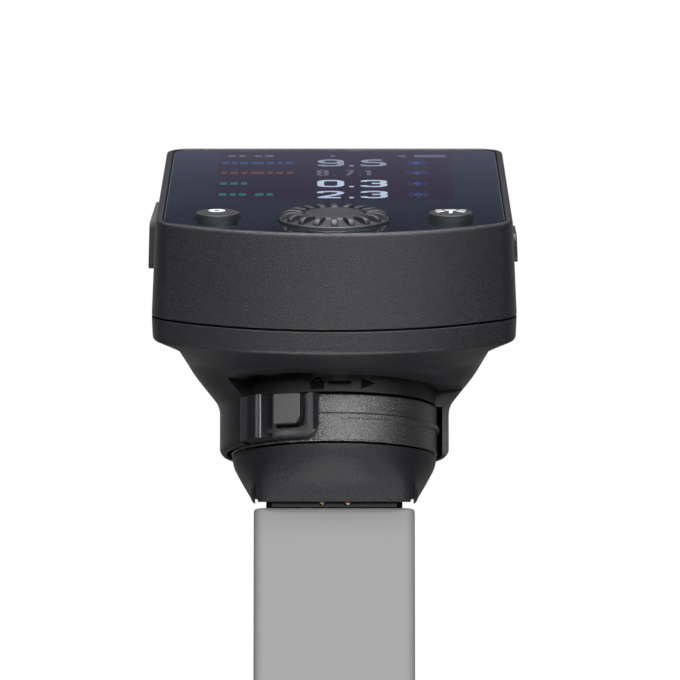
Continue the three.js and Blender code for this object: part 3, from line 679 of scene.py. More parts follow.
GOLD = metal("gold_contact", (0.86, 0.58, 0.24), 0.22, 0.1)
GLASS = clear_glass()
BOARD = circuit_board()
FOIL = battery_foil()
PRINT = bonded_print()
SCREEN_BACK = glowing("screen_back", (0.008, 0.002, 0.007))
WHITE_LIT = glowing("screen_white", (0.62, 0.76, 0.97), 1.25)
DIM_WHITE_LIT = glowing("screen_dim_white", (0.5, 0.6, 0.72), 0.8)
GREY_LIT = glowing("screen_grey", (0.16, 0.18, 0.23))
BLUE_LIT = glowing("screen_blue", (0.01, 0.08, 0.22))
SUN_LIT = glowing("screen_sun", (0.035, 0.08, 0.3))
ORANGE_LIT = glowing("screen_orange", (0.17, 0.06, 0.008))
TEAL_LIT = glowing("screen_teal", (0.008, 0.19, 0.17))
ICON_WHITE = smooth_plastic("icon_paint", (0.42, 0.43, 0.44), 0.6)
# Painted shade for the floor of the sunk lock mark, on top of the real shade of its recess.
PAINTED_RECESS_SHADE = smooth_plastic("mark_recess_shade", (0.001, 0.001, 0.0012), 0.9)


# ---- Head -----------------------------------------------------------------------------------

def upper_shell():
    """The drafted wall, the rim and the deck round the glass, as one ring."""
    inner = TOP_DRAFT + RIM
    profile = [
        (0.0, HALF_SEAM), (TOP_DRAFT, HEAD_TOP), (inner, HEAD_TOP), (inner, DECK["top"]),
        (DECK["edge"], DECK["top"]), (DECK["edge"], DECK["bottom"]), (DECK["wall"], DECK["bottom"]),
        (WALL, LIP["top"]), (LIP["inset"], LIP["top"]), (LIP["inset"], HALF_SEAM),
    ]
    reaches = [0.14, 0.5, 0.16, 0, 0, 0, 0, 0, 0, 0]
    shell = swept("upper_shell_fine", soft_outline(profile, reaches, 5))
    cut(shell, *side_cutters())
    piece(shell, "casing", CASING, "casing", "upper_shell")


def on_side(thing, v, w):
    """Turns a prism so that its outline lies in the head's side wall."""
    return moved(thing, HEAD @ Matrix.Translation((0, v, w)) @ SIDEWAYS)


def side_pill(place, gap, radius):
    """The outline of a piece in the side wall, or of the hole for it."""
    return pill(place["half_length"] + gap, place["half_height"] + gap, radius)


def side_cutters():
    """The port recess with its two socket holes, and the power button's hole."""
    recess = prism("recess", side_pill(PORT, SIDE_GAP, 1.1), -30, PORT["inner"] + 0.15)
    usb = prism("usb_hole", pill(4.75, 1.85, 1.7), -29, -20)
    jack = cylinder("jack_hole", 1.6, -29, -20, steps=32)
    power = prism("power_hole", side_pill(POWER, SIDE_GAP, 1.1), 20, 30)
    return (on_side(recess, PORT["v"], PORT["w"]), on_side(usb, USB_V, PORT_W),
            on_side(jack, JACK_V, PORT_W), on_side(power, POWER["v"], POWER["w"]))


def lower_shell():
    """The collar, the funnel and the slab's lower wall, hollowed, with the lever's window."""
    outer = softened_stack("lower_shell_fine", [
        neck_circle(COLLAR_RADIUS - 0.4, COLLAR_BOTTOM),
        neck_circle(COLLAR_RADIUS, COLLAR_BOTTOM + 0.5),
        neck_circle(COLLAR_RADIUS, COLLAR_TOP),
        neck_circle(FUNNEL_RADIUS, FUNNEL_HEIGHT, FUNNEL_SLOPE),
        head_outline(0.12, -LOWER_WALL),
        head_outline(0, -HALF_SEAM),
        head_outline(TONGUE["inset"], -HALF_SEAM),
        head_outline(TONGUE["inset"] + 0.05, TONGUE["top"]),
    ], [0, 0.4, 1.2, 1.6, 0.55, 0.14, 0, 0], steps=5)
    cavity = stacked("cavity", [
        neck_circle(CAVITY["radius"], CAVITY["bottom"]),
        neck_circle(FUNNEL_RADIUS - 2, FUNNEL_HEIGHT + WALL, FUNNEL_SLOPE),
        head_outline(WALL, -LOWER_WALL + 0.7),
        head_outline(WALL, 2.0),
    ])
    bore = cylinder("bore", COLLAR_BORE, 0, BOSS_BOTTOM, steps=144)
    core = cylinder("core", CORE_RADIUS, 0, 30, steps=96)
    window = prism("window", sector(BOSS_RADIUS, 30, *WINDOW, steps=72), 0, WINDOW_TOP)
    cut(outer, cavity, bore, core, window, *lock_mark_cutters())
    clean(outer, 0.3)
    bevel(outer, 0.13, angle=48, segments=2)
    piece(outer, "casing", CASING, "casing", "lower_shell", angle=40)


def on_neck(thing, azimuth, z=0.0):
    """Turns a prism drawn in (sideways, up) so that it points outward at an azimuth."""
    turn = Matrix.Rotation(math.radians(azimuth), 4, "Z")
    return moved(thing, turn @ Matrix.Translation((0, 0, z)) @ UPRIGHT)


def mark_outlines():
    """A padlock's body and bow, a bar and an arrow, as (azimuth, height, outline)."""
    z = (BOSS_BOTTOM + WINDOW_TOP) / 2 + 0.05
    return [
        (-9.5, z - 0.35, pill(0.95, 0.55, 0.12, 3)),
        (-9.5, z + 0.12, ring_outline(0.38, 0.66, 0, 180, 14)),
        (3.0, z, pill(1.6, 0.24, 0.14, 3)),
        (19.0, z, [(-0.95, -0.85), (1.05, 0.0), (-0.95, 0.85)]),
    ]


def lock_mark_cutters():
    """Sinks the lock mark into the boss above the lock ring."""
    depth = BOSS_RADIUS - 0.5
    return [on_neck(prism("mark", outline, depth, BOSS_RADIUS + 1), azimuth, z)
            for azimuth, z, outline in mark_outlines()]


def lock_mark_shade():
    """Painted shade: a near-black layer in the floor of the sunk mark, darkening the real recess."""
    for i, (azimuth, z, outline) in enumerate(mark_outlines()):
        layer = prism(f"lock_mark_{i + 1}", outline, BOSS_RADIUS - 0.52, BOSS_RADIUS - 0.4)
        piece(on_neck(layer, azimuth, z), "casing", PAINTED_RECESS_SHADE, "casing")


def glass_holes():
    """Cutters for the dial and the two round buttons."""
    holes = [cylinder("dial_hole", DIAL_RADIUS + 0.35, *GLASS_CUT, 0, DIAL_V, 96)]
    for side in (-1, 1):
        place = (side * BUTTON_X, BUTTON_V)
        holes.append(cylinder("button_hole", BUTTON_RADIUS + 0.25, *GLASS_CUT, *place))
    return holes


def screen_block(name, low, high):
    """A block over the lit part of the display."""
    half = SCREEN["half_width"]
    return block(name, (-half, half), (SCREEN["near"], SCREEN["far"]), (low, high))


def cover_glass():
    """The glass sheet with its holes and a soft upper edge."""
    inset = TOP_DRAFT + RIM + 0.12
    glass = softened_stack("cover_glass_fine", [
        slab_outline(inset + 0.25, GLASS_BOTTOM), slab_outline(inset, GLASS_BOTTOM + 0.01),
        slab_outline(inset, GLASS_TOP), slab_outline(inset + 0.4, GLASS_TOP),
    ], [0, 0.02, 0.2, 0])
    cut(glass, *glass_holes())
    clean(glass, 0.2)
    moved(glass, HEAD)
    piece(glass, "casing", GLASS, "cover_glass", "cover_glass")


def glass_print():
    """The dark print on the back of the glass, with a window for the display."""
    inset = TOP_DRAFT + RIM + 0.2
    sheet = stacked("glass_print", [slab_outline(inset, w) for w in (PRINT_LEVEL - 0.04, PRINT_LEVEL)])
    cut(sheet, screen_block("window", *GLASS_CUT), *glass_holes())
    moved(sheet, HEAD)
    piece(sheet, "casing", PRINT, "display")


def display_module():
    """The display's body, and its lit part just under the glass."""
    half = PANEL["half_width"]
    panel = block("display_module_fine", (-half, half), (PANEL["near"], PANEL["far"]),
                  (PANEL["bottom"], PRINT_LEVEL - 0.05))
    bevel(panel, 0.1)
    piece(moved(panel, HEAD), "casing", INNER_PLASTIC, "display", "display_module")
    lit = screen_block("display_area", PRINT_LEVEL - 0.045, PRINT_LEVEL - 0.01)
    piece(moved(lit, HEAD), "casing", SCREEN_BACK, "display")


# ---- Display contents -----------------------------------------------------------------------

# Digits as strokes on a unit square. A stroke that ends where it starts is a closed loop.
DIGITS = {
    "0": [[(0, 0), (1, 0), (1, 1), (0, 1), (0, 0)]],
    "1": [[(0.2, 0.8), (0.6, 1), (0.6, 0)]],
    "2": [[(0, 0.74), (0, 1), (1, 1), (1, 0.6), (0, 0.05), (0, 0), (1, 0)]],
    "3": [[(0, 0.8), (0, 1), (1, 1), (1, 0.52), (0.4, 0.52)],
          [(0.4, 0.52), (1, 0.52), (1, 0), (0, 0), (0, 0.2)]],
    "5": [[(0.95, 1), (0.06, 1), (0.02, 0.55), (1, 0.6), (1, 0), (0, 0), (0, 0.18)]],
    "7": [[(0, 1), (1, 1), (0.35, 0)]],
    "8": [[(0, 0), (1, 0), (1, 0.52), (0, 0.52), (0, 0)], [(0, 0.52), (1, 0.52), (1, 1), (0, 1), (0, 0.52)]],
    "9": [[(0, 0.46), (1, 0.46), (1, 1), (0, 1), (0, 0.46)], [(1, 0.7), (1, 0), (0, 0), (0, 0.18)]],
}


def stroke_points(stroke, width, height, bend):
    """A digit's stroke in millimetres, its corners rounded."""
    closed = stroke[0] == stroke[-1]
    corners = [Vector((x * width, y * height, 0)) for x, y in (stroke[:-1] if closed else stroke)]
    return soften(corners, [bend] * len(corners), closed=closed, steps=5), closed


def on_display(name, vertices, faces, material):
    """A piece from points in the head's plane, lit by the display."""
    piece(new_object(name, tilted(vertices), faces), "casing", material, "display")


def ribbon(points, closed, thickness):
    """Vertices and faces of a flat band along a line of points."""
    count = len(points)
    low, high = LIT_LEVELS
    vertices, faces = [], []
    for i, p in enumerate(points):
        before = points[i - 1] if closed or i else p
        after = points[(i + 1) % count] if closed or i < count - 1 else p
        along = (after - before).normalized()
        side = Vector((-along.y, along.x, 0)) * thickness / 2
        corners = ((p - side, low), (p + side, low), (p + side, high), (p - side, high))
        vertices += [Vector((q.x, q.y, w)) for q, w in corners]
    for i in range(count if closed else count - 1):
        a, b = i * 4, (i + 1) % count * 4
        faces += [(a + k, a + (k + 1) % 4, b + (k + 1) % 4, b + k) for k in range(4)]
    if not closed:
        last = (count - 1) * 4
        faces += [(3, 2, 1, 0), (last, last + 1, last + 2, last + 3)]
    return vertices, faces


def number(name, text, places, v, size, thickness, material):
    """A number on the display, each symbol at its own x. A dot is a small square."""
    width, height = size
    vertices, faces = [], []
    for symbol, x in zip(text, places):
        strokes = DIGITS.get(symbol, [[(0, 0), (0.22, 0)]])
        for stroke in strokes:
            points, closed = stroke_points(stroke, width - thickness, height - thickness, width * 0.35)
            more, ribbon_faces = ribbon(points, closed, thickness)
            start = len(vertices)
            corner = Vector((x + thickness / 2, v - height / 2 + thickness / 2, 0))
            vertices += [corner + p for p in more]
            faces += [tuple(start + k for k in face) for face in ribbon_faces]
    on_display(name, vertices, faces, material)


def flat_pieces(name, rectangles, material):
    """One piece from several rounded rectangles lying on the display."""
    vertices, faces = [], []
    for x, v, half_x, half_v in rectangles:
        outline = pill(half_x, half_v, min(0.12, half_x * 0.9, half_v * 0.9), 3)
        count, start = len(outline), len(vertices)
        for w in LIT_LEVELS:
            vertices += [Vector((x + px, v + py, w)) for px, py in outline]
        faces.append(tuple(start + i for i in reversed(range(count))))
        faces.append(tuple(start + count + i for i in range(count)))
        faces += wall_faces(start, start + count, count)
    on_display(name, vertices, faces, material)


def label_blocks(x, v, lengths, height):
    """A label without lettering: a row of small blocks."""
    blocks = []
    for length in lengths:
        blocks.append((x + length / 2, v, length / 2, height / 2))
        x += length + 0.45
    return blocks


def sun_mark(x, v, radius):
    """A dot with short rays."""
    marks = [(x, v, radius * 0.6, radius * 0.8)]
    for i in range(8):
        a = math.pi * i / 4
        marks.append((x + radius * 1.3 * math.cos(a), v + radius * 1.6 * math.sin(a), 0.2, 0.3))
    return marks


def display_contents():
    """Four rows of a coloured label, a number and a sun, under a line of status marks."""
    rows = [28.3, 19.5, 10.2, 0.8]
    labels = [
        ("row_label_1", BLUE_LIT, (1.0, 0.7, 1.1, 0.9), (0.9, 1.1, 0.7, 1.1)),
        ("row_label_2", ORANGE_LIT, (0.9, 1.1, 0.8, 1.0), (1.1, 0.8, 1.0, 0.9)),
        ("row_label_3", TEAL_LIT, (1.0, 1.1, 0.8), ()),
        ("row_label_4", TEAL_LIT, (1.1, 0.8, 1.0), (1.2, 0.9)),
    ]
    for v, (name, material, first, second) in zip(rows, labels):
        blocks = label_blocks(-16.0, v, first, 2.1) + label_blocks(-11.0, v, second, 2.1)
        flat_pieces(name, blocks, material)
    size, places = (3.75, 6.1), (-2.4, 1.6, 3.65)
    number("row_number_1", "9.5", places, rows[0], size, 0.95, DIM_WHITE_LIT)
    number("row_number_2", "8.7.1", (-2.5, -0.4, 1.2, 3.2, 3.9), rows[1], (1.7, 5.0), 0.6, GREY_LIT)
    number("row_number_3", "0.3", places, rows[2], size, 0.95, WHITE_LIT)
    number("row_number_4", "2.3", places, rows[3], size, 0.95, WHITE_LIT)
    suns = [mark for v in rows for mark in sun_mark(11.6, v, 1.0)]
    flat_pieces("row_suns", suns, SUN_LIT)
    top = 34.4
    status = label_blocks(-15.2, top, [1.1, 0.9], 1.4) + label_blocks(-11.4, top, [1.0, 1.2], 1.4)
    status += label_blocks(-0.6, top, [0.7], 1.4) + label_blocks(9.2, top, [1.0], 1.4)
    flat_pieces("status_marks", status, GREY_LIT)
    flat_pieces("battery_mark", label_blocks(11.4, top, [4.5], 2.0), GREY_LIT)


# ---- Controls -------------------------------------------------------------------------------

def rib_outline():
    """A rib's side view, in (radius, height), counter-clockwise, its outer end rounded down."""
    inner, outer, foot = RIB["inner"], RIB["outer"], DIAL_EDGE - 0.1
    path = [
        (inner, foot), (outer, foot), (outer, DIAL_TOP - 0.45), (outer - 0.8, DIAL_TOP),
        (inner, DIAL_TOP - 0.08),
    ]
    return soft_outline(path, [0, 0, 0.3, 0.5, 0], 5)


def dial_knob():
    """The hub with its ribs, and a seat for the cap."""
    sleeve, top = DIAL_SLEEVE["radius"], DIAL_SLEEVE["top"]
    recess, seat = CAP["radius"] + 0.2, CAP["bottom"] - 0.15
    hub = turned("dial_knob_fine", [
        (0, top), (sleeve, top), (sleeve, DIAL_BOTTOM), (DIAL_RADIUS, DIAL_BOTTOM),
        (DIAL_RADIUS, DIAL_EDGE),
        (RIB["inner"] + 0.1, DIAL_CENTRE - 0.2), (RIB["inner"], DIAL_CENTRE), (recess, DIAL_CENTRE),
        (recess, seat), (0, seat),
    ], [0, 0, 0, 0, 0.16, 0.08, 0.06, 0.06, 0, 0])
    for i in range(DIAL_RIBS):
        rib = prism("rib", rib_outline(), -RIB["half_width"], RIB["half_width"])
        bevel(rib, 0.13, segments=3)
        turn = Matrix.Rotation(2 * math.pi * i / DIAL_RIBS - math.pi / 2, 4, "Z")
        join(hub, moved(rib, turn @ UPRIGHT))
    moved(hub, HEAD @ Matrix.Translation((0, DIAL_V, 0)))
    piece(hub, "dial", KNOB_PLASTIC, "knob", "dial_knob", angle=32)


def dial_cap():
    """The dished cap in the dial's middle."""
    radius, bottom, middle = CAP["radius"], CAP["bottom"], CAP["middle"]
    cap = turned("dial_cap_fine", [
        (0, bottom), (radius, bottom), (radius, DIAL_CENTRE), (radius * 0.85, DIAL_CENTRE),
        (radius * 0.5, middle + 0.05), (0, middle),
    ], [0, 0, 0.1, 0.25, 0.7, 0], bend=6)
    moved(cap, HEAD @ Matrix.Translation((0, DIAL_V, 0)))
    piece(cap, "dial", KNOB_PLASTIC, "knob", "dial_cap")


def round_button(name, side):
    """A button with its stem and flange. Returns where its marks are drawn."""
    stem, foot = BUTTON_STEM["radius"], BUTTON_STEM["bottom"]
    flange, low, high = BUTTON_FLANGE["radius"], BUTTON_FLANGE["bottom"], BUTTON_FLANGE["top"]
    button = turned(name + "_fine", [
        (0, foot), (stem, foot), (stem, low), (flange, low), (flange, high),
        (BUTTON_RADIUS, high), (BUTTON_RADIUS, BUTTON_TOP), (2.0, BUTTON_TOP), (0, BUTTON_TOP),
    ], [0, 0, 0, 0, 0, 0, 0.13, 0, 0], steps=72, bend=4)
    place = HEAD @ Matrix.Translation((side * BUTTON_X, BUTTON_V, 0))
    moved(button, place)
    piece(button, name, KNOB_PLASTIC, "knob", name)
    return place


def ring_outline(inner, outer, start, end, steps=40):
    """Part of a flat ring about the origin, between two angles in degrees."""
    angles = [math.radians(start + (end - start) * i / steps) for i in range(steps + 1)]
    return round_points(outer, angles) + round_points(inner, reversed(angles))


def paint(name, body, outline, place):
    """A thin painted mark on a round button's top."""
    mark = moved(prism(name, outline, BUTTON_TOP - 0.02, BUTTON_TOP + 0.012), place)
    piece(mark, body, ICON_WHITE, "knob")


def button_marks(test_place, lamp_place):
    """A ring, and half a sun with five rays, both painted near the far edge."""
    ring = Matrix.Translation((-0.15, 1.4, 0))
    paint("test_mark_left", "test_button", ring_outline(0.42, 1.15, 88, 272), test_place @ ring)
    paint("test_mark_right", "test_button", ring_outline(0.42, 1.15, -92, 92), test_place @ ring)
    sun = Matrix.Translation((0, 2.0, 0))
    half_disc = round_points(0.85, [math.pi * (1 + i / 20) for i in range(21)])
    paint("lamp_mark_sun", "lamp_button", half_disc, lamp_place @ sun)
    for i, (angle, reach) in enumerate(((190, 2.1), (226, 2.7), (270, 2.8), (314, 2.7), (350, 2.1))):
        ray = sun @ Matrix.Rotation(math.radians(angle), 4, "Z")
        outline = [(1.2, -0.24), (reach, -0.24), (reach, 0.24), (1.2, 0.24)]
        paint(f"lamp_mark_ray_{i + 1}", "lamp_button", outline, lamp_place @ ray)


def lean(thing, place, per_v, per_w):
    """Sinks a side piece's outer face along the head and upward, as the casing's wall leans."""
    outer, half_v, half_w = place["outer"], place["half_length"], place["half_height"]
    sign = math.copysign(1, outer)
    for vertex in thing.data.vertices:
        if sign * vertex.co.z > (sign * outer - 0.1) * MM:
            sink = per_v * (vertex.co.x + half_v * MM) + per_w * (vertex.co.y + half_w * MM)
            vertex.co.z -= sign * sink


def power_button():
    """The push button in the right wall."""
    button = prism("power_button_fine", side_pill(POWER, 0, 1.0), POWER["inner"], POWER["outer"])
    lean(button, POWER, 0.01, 0.045)
    bevel(on_side(button, POWER["v"], POWER["w"]), 0.13, segments=3)
    piece(button, "power_button", KNOB_PLASTIC, "knob", "power_button")


def port_cover():
    """The rubber cover in the left wall, with a plug for each socket on its back."""
    cover = prism("port_cover_fine", side_pill(PORT, 0, 1.0), PORT["outer"], PORT["inner"])
    lean(cover, PORT, 0.025, 0.03)
    bevel(on_side(cover, PORT["v"], PORT["w"]), 0.16, segments=3)
    low, high = PORT["inner"] - 0.3, PORT["inner"] + 0.9
    usb = on_side(prism("usb_plug", pill(3.9, 1.0, 0.9), low, high), USB_V, PORT_W)
    jack = on_side(cylinder("jack_plug", 1.0, low, high, steps=32), JACK_V, PORT_W)
    join(cover, usb, jack)
    piece(cover, "port_cover", RUBBER, "rubber", "port_cover")


# ---- Neck, lock ring and lever --------------------------------------------------------------

def lock_ring():
    """The ring with a raised band round its middle."""
    inner, outer, low, high = RING["inner"], RING["outer"], RING["bottom"], RING["top"]
    band = BAND["radius"]
    profile = [
        (inner, low), (outer, low), (outer, BAND["bottom"] - 0.12), (band, BAND["bottom"]),
        (band, BAND["top"] - 0.1), (outer, BAND["top"]), (outer, high), (inner, high),
    ]
    reaches = [0, 0.3, 0.06, 0.14, 0.14, 0.06, 0.3, 0]
    ring = turned("lock_ring_fine", profile, reaches, steps=192, bend=4, closed=True)
    piece(ring, "lock_ring", RING_PLASTIC, "ring_plastic", "lock_ring", angle=50)


def grip_outline():
    """The thumb grip seen from above: two flats, a ridge and a hollowed inner side."""
    start, end = LEVER["start"], LEVER["pad_start"] - 1.8
    path = [
        polar(LEVER_FLOOR - 0.3, start), polar(LEVER_FLOOR + 1.4, start),
        polar(LEVER_GRIP - 0.35, start + 7), polar(LEVER_GRIP, start + 12.5),
        polar(LEVER_GRIP - 0.3, start + 15), polar(LEVER_FLOOR + 0.1, end - 2.2),
        polar(LEVER_FLOOR - 0.3, end - 1.8),
    ]
    return flat(soften(path, [0, 0.3, 0.12, 0.3, 0.2, 0.3, 0], closed=True, steps=3))


def across(radius, azimuth, centre):
    """How far sideways of a centre azimuth a point on the neck lies."""
    return radius * math.sin(math.radians(azimuth - centre))


def lever_pocket():
    """The cutter for the U-shaped frame: open at the top, its lower right corner rounded."""
    middle = (LEVER["pad_start"] + LEVER["pad_end"]) / 2
    left = across(16.0, LEVER["pad_start"] - 0.9, middle)
    right = across(16.0, LEVER["pad_end"] + 0.9, middle)
    outline = soft_box(left, right, LEVER_LOW + 1.35, LEVER_HIGH + 2, [0.3, 1.3, 0, 0])
    return on_neck(prism("pocket", outline, 10, 22), middle)


def lever_corner():
    """The cutter that rounds the frame's outer lower corner."""
    radius, low = LEVER_CORNER, LEVER_LOW
    bend = arc(-radius, low + radius, radius, 0, -math.pi / 2, 10)
    path = [(2, low - 2), (2, low + radius)] + flat(bend) + [(-radius, low), (-radius, low - 2)]
    return on_neck(prism("corner", path, 10, 22), LEVER["end"])


def lock_lever():
    """The lever: a curved plate with the thumb grip, a sill and the frame's upright rail."""
    start, pad_start, end = LEVER["start"], LEVER["pad_start"], LEVER["end"]
    into, low, high = LEVER_FLOOR - 0.2, LEVER_LOW, LEVER_HIGH
    lever = prism("lock_lever_fine", sector(LEVER_BACK, LEVER_FLOOR, start, end), low, high)
    rail_start = LEVER["frame_start"]
    corners = [polar(into, rail_start), polar(into, end), polar(into + 0.3, end),
               polar(LEVER_FRAME, end - 2.3), polar(LEVER_FRAME, rail_start)]
    rail = prism("rail", flat(corners), low, high)
    sill_outline = sector(into, LEVER_FRAME - 0.02, pad_start - 2, end - 0.1)
    sill = prism("sill", sill_outline, low + 0.01, low + 0.95)
    grip = prism("grip", grip_outline(), low + 0.005, high - 0.005)
    join(lever, rail, sill, grip)
    cut(lever, lever_pocket(), lever_corner())
    clean(lever, 0.3)
    bevel(lever, 0.17, angle=30, segments=3)
    piece(lever, "lock_ring", LEVER_PLASTIC, "lever_plastic", "lock_lever", angle=30)


def release_button():
    """The pad between the grip and the frame, its lower right corner rounded."""
    start, end = LEVER["pad_start"], LEVER["pad_end"]
    middle = (start + end) / 2
    left, right = across(16.9, start, middle), across(16.9, end, middle)
    outline = soft_box(left, right, LEVER_LOW + 1.7, LEVER_HIGH, [0.3, 1.2, 0.3, 0.2])
    pad = on_neck(prism("release_button_fine", outline, 15.12, 16.85), middle)
    bevel(pad, 0.5, angle=40, segments=5)
    piece(pad, "release_button", LEVER_PLASTIC, "lever_plastic", "release_button", angle=40)


# ---- Foot -----------------------------------------------------------------------------------

def foot_base():
    """The bowl, cut away over the foot plate, with the seats for the core and the contacts."""
    sections = [foot_section(*section) for section in FOOT_SECTIONS]
    bowl = softened_stack("foot_base_fine", sections, [0, 0.9, 0.9, 0.7, 0], steps=4)
    half, half_x, half_y = RAIL_SLOT["half_width"], SHOE_NECK["half_x"], SHOE_NECK["half_y"]
    cut(bowl, block("underside", (-20, 20), (FOOT_REAR, 20), (-1, UNDERSIDE)),
        block("rail_slot", (-half, half), (FOOT_REAR - 0.001, 20), (-1, RAIL_SLOT["top"])))
    neck_heights = (SHOE_NECK["bottom"], SHOE_NECK["top"])
    join(bowl, block("shoe_neck", (-half_x, half_x), (-half_y, half_y), neck_heights))
    cut(bowl, cylinder("core_seat", CORE_RADIUS, CORE_SEAT, SEATS_TOP, steps=96),
        cylinder("flange_seat", FLANGE_SEAT["radius"], FLANGE_SEAT["bottom"], SEATS_TOP),
        cylinder("block_hole", BLOCK_HOLE, 0, SEATS_TOP),
        cylinder("pin_hole", PIN_HOLE["radius"], 0, SEATS_TOP, 0, PIN_HOLE["y"], 32))
    clean(bowl, 0.3)
    bevel(bowl, 0.16, angle=40, segments=2)
    piece(bowl, "casing", BOWL_PLASTIC, "bowl_plastic", "foot_base", angle=40)


# ---- Pieces kept from the CAD ---------------------------------------------------------------

def refine_small_pieces():
    """Small pieces that show, or could: their CAD shapes with rounded edges."""
    # The foot plate's near-black steel is painted shade, not a finish of its own.
    refined("foot_plate", "casing", SHADE_DARKENED_STEEL, "steel", 0.15)
    refined("contact_block", "casing", INNER_PLASTIC, "inner_plastic", 0.08)
    refined("centre_contact", "centre_contact", GOLD, "gold_contact", 0.06, 25)
    for i in range(1, 5):
        refined(f"data_contact_{i}", f"data_contact_{i}", GOLD, "gold_contact", 0.04, 25)
        refined(f"foot_screw_{i}", "casing", STEEL, "steel", 0.06, 25)
    for i in (1, 2):
        refined(f"rear_contact_{i}", "casing", GOLD, "gold_contact", 0.08)
    refined("lock_pin", "lock_pin", STEEL, "steel", 0.06, 28)
    refined("usb_socket", "casing", STEEL, "steel", 0.1)
    refined("sync_jack", "casing", INNER_PLASTIC, "inner_plastic", 0.1)


def dress_inner_nodes():
    """Materials for the CAD nodes that stay as they are, all inside the casing."""
    looks = {
        "board": BOARD, "battery_foil": FOIL, "steel": STEEL, "inner_plastic": INNER_PLASTIC,
        "casing": CASING, "knob": KNOB_PLASTIC, "display": INNER_PLASTIC, "cover_glass": GLASS,
        "rubber": RUBBER, "ring_plastic": RING_PLASTIC, "lever_plastic": LEVER_PLASTIC,
        "bowl_plastic": BOWL_PLASTIC, "gold_contact": GOLD,
    }
    for part in frame["record"]["subparts"]:
        node = frame["nodes"][part["node"]]
        for slot in node.material_slots:
            slot.material = looks[part["material_slot"]]


# ---- Studio ---------------------------------------------------------------------------------

PITCH = 9.5                 # degrees: the camera looks up at the object
DISTANCE = 900.0
LENS = 344.5
AIM = Vector((0.78, 0.0, 24.6))
FLOOR = -1000.0


def make_camera():
    """A long lens a little below the object, looking up at it from the user's side."""
    data = bpy.data.cameras.new("camera")
    data.lens = LENS
    data.sensor_width = 36.0
    data.clip_start = 0.05
    data.clip_end = 20.0
    camera = bpy.data.objects.new("camera", data)
    bpy.context.scene.collection.objects.link(camera)
    pitch = math.radians(PITCH)
    forward = Vector((0, math.cos(pitch), math.sin(pitch)))
    camera.location = (AIM - forward * DISTANCE) * MM
    camera.rotation_euler = forward.to_track_quat("-Z", "Y").to_euler()
    bpy.context.scene.camera = camera


# name, azimuth (0 towards the camera, growing towards +X) and elevation in degrees,
# distance, width and height in metres, power in watts
LIGHTS = [
    ("ring_light", 12, 10, 1.3, 1.35, 0.26, 18.5),
    ("lever_light", -46, 12, 1.3, 0.4, 0.3, 2.6),
    ("wall_light", -16, -25, 1.2, 0.8, 0.14, 0.5),
    ("low_light", 0, -76, 0.6, 0.3, 0.12, 3.0),
    ("edge_light", 0, 43, 1.3, 1.2, 0.16, 24),
    ("top_strip", 0, 87, 1.3, 0.8, 0.06, 20),
]


def make_lights():
    """The lights of the list, all aimed at the object."""
    target = Vector((0, 0, 0.025))
    for name, azimuth, elevation, distance, width, height, power in LIGHTS:
        data = bpy.data.lights.new(name, "AREA")
        data.shape = "RECTANGLE"
        data.size = width
        data.size_y = height
        data.energy = power
        light = bpy.data.objects.new(name, data)
        e = math.radians(elevation)
        light.location = polar(distance * math.cos(e), azimuth, distance * math.sin(e))
        light.rotation_euler = (target - light.location).to_track_quat("-Z", "Y").to_euler()
        bpy.context.scene.collection.objects.link(light)


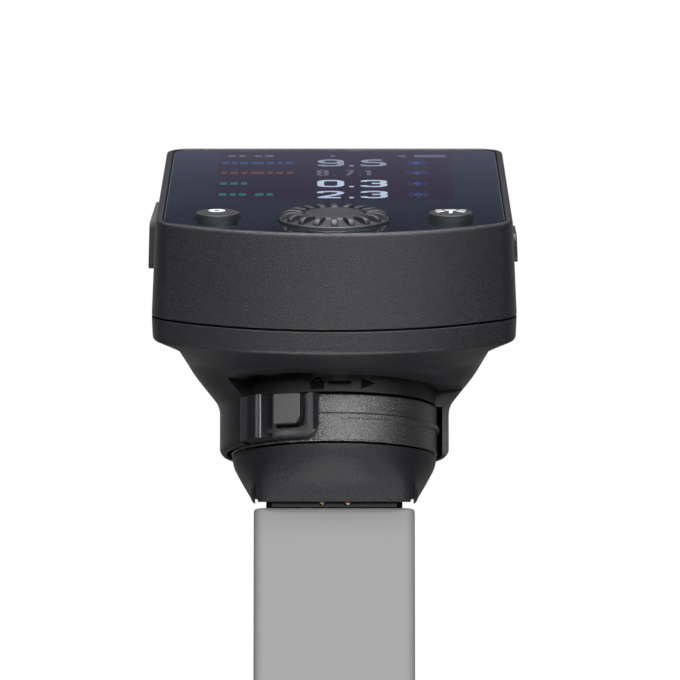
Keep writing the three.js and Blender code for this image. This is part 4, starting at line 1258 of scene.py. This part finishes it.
def make_world():
    """White for the camera. For light, a white sweep behind the object and a dim room elsewhere.

    The cover glass mirrors a narrow band of heights near sin 29.5 degrees, where the sweep ends.
    """
    world = bpy.data.worlds.new("studio")
    world.use_nodes = True
    bpy.context.scene.world = world
    tree = world.node_tree
    tree.nodes.clear()
    link = tree.links.new
    place = add_node(tree, "TexCoord")
    axes = add_node(tree, "SeparateXYZ")
    link(place.outputs["Generated"], axes.inputs["Vector"])
    height = direction_ramp(tree, axes.outputs["Z"], [
        (-1.0, (0.1, 0.1, 0.1)), (-0.1, (0.3, 0.3, 0.3)), (0.1, (0.55, 0.55, 0.55)),
        (0.47, (0.32, 0.3, 0.4)), (0.489, (0.19, 0.19, 0.28)), (0.493, (0.08, 0.074, 0.12)),
        (0.4966, (0.045, 0.036, 0.066)), (0.6, (0.02, 0.02, 0.03)), (1.0, (0.02, 0.02, 0.025)),
    ])
    back = direction_ramp(tree, axes.outputs["Y"], [
        (-1.0, (0.03, 0.03, 0.03)), (0.3, (0.03, 0.03, 0.03)), (0.85, (1, 1, 1)), (1.0, (1, 1, 1)),
    ])
    lit = add_node(tree, "Background")
    seen = add_node(tree, "Background", color=(1, 1, 1))
    choose = add_node(tree, "MixShader")
    link(height, lit.inputs["Color"])
    link(back, lit.inputs["Strength"])
    rays = add_node(tree, "LightPath")
    link(rays.outputs["Is Camera Ray"], choose.inputs["Fac"])
    link(lit.outputs["Background"], choose.inputs[1])
    link(seen.outputs["Background"], choose.inputs[2])
    out = add_node(tree, "OutputWorld")
    link(choose.outputs["Shader"], out.inputs["Surface"])


def direction_ramp(tree, source, stops):
    """A colour read off a ramp by a value of -1..1."""
    scale = add_node(tree, "MapRange", from_min=-1.0)
    tree.links.new(source, scale.inputs["Value"])
    return colour_ramp(tree, scale.outputs["Result"], [((at + 1) / 2, colour) for at, colour in stops])


def stage_paint():
    """Grey round the stand and paler further out, so that little light comes up from below."""
    n = Nodes("stage_paint")
    reach = n.add("VectorMath")
    reach.operation = "LENGTH"
    n.link(n.place, reach.inputs[0])
    near = n.spread(n.noise(6, 2.0), 0.15, 0.17, *NOISE_RANGE)
    tone = n.add("Mix", b=0.7)
    n.link(n.spread(reach.outputs["Value"], 0, 1, 1.4, 3.2), tone.inputs["Factor"])
    n.link(near, tone.inputs["A"])
    n.drive("Base Color", tone.outputs["Result"])
    n.set(roughness=0.8)
    return n.material


def make_stage():
    """A floor far below, and a post under the foot that holds the object up."""
    paint_material = stage_paint()
    floor = block("floor", (-6000, 6000), (-6000, 6000), (FLOOR - 20, FLOOR))
    post = prism("stand_post", pill(11.0, 8.8, 1.5), FLOOR, -0.05)
    bevel(post, 0.4)
    for thing in (floor, post):
        thing.data.materials.append(paint_material)
        shade(thing)


# ---- Everything -----------------------------------------------------------------------------

make_camera()
dress_inner_nodes()
upper_shell()
lower_shell()
lock_mark_shade()
cover_glass()
glass_print()
display_module()
display_contents()
dial_knob()
dial_cap()
button_marks(round_button("test_button", -1), round_button("lamp_button", 1))
power_button()
port_cover()
lock_ring()
lock_lever()
release_button()
foot_base()
refine_small_pieces()
make_lights()
make_world()
make_stage()
bpy.context.scene.view_settings.view_transform = "Standard"
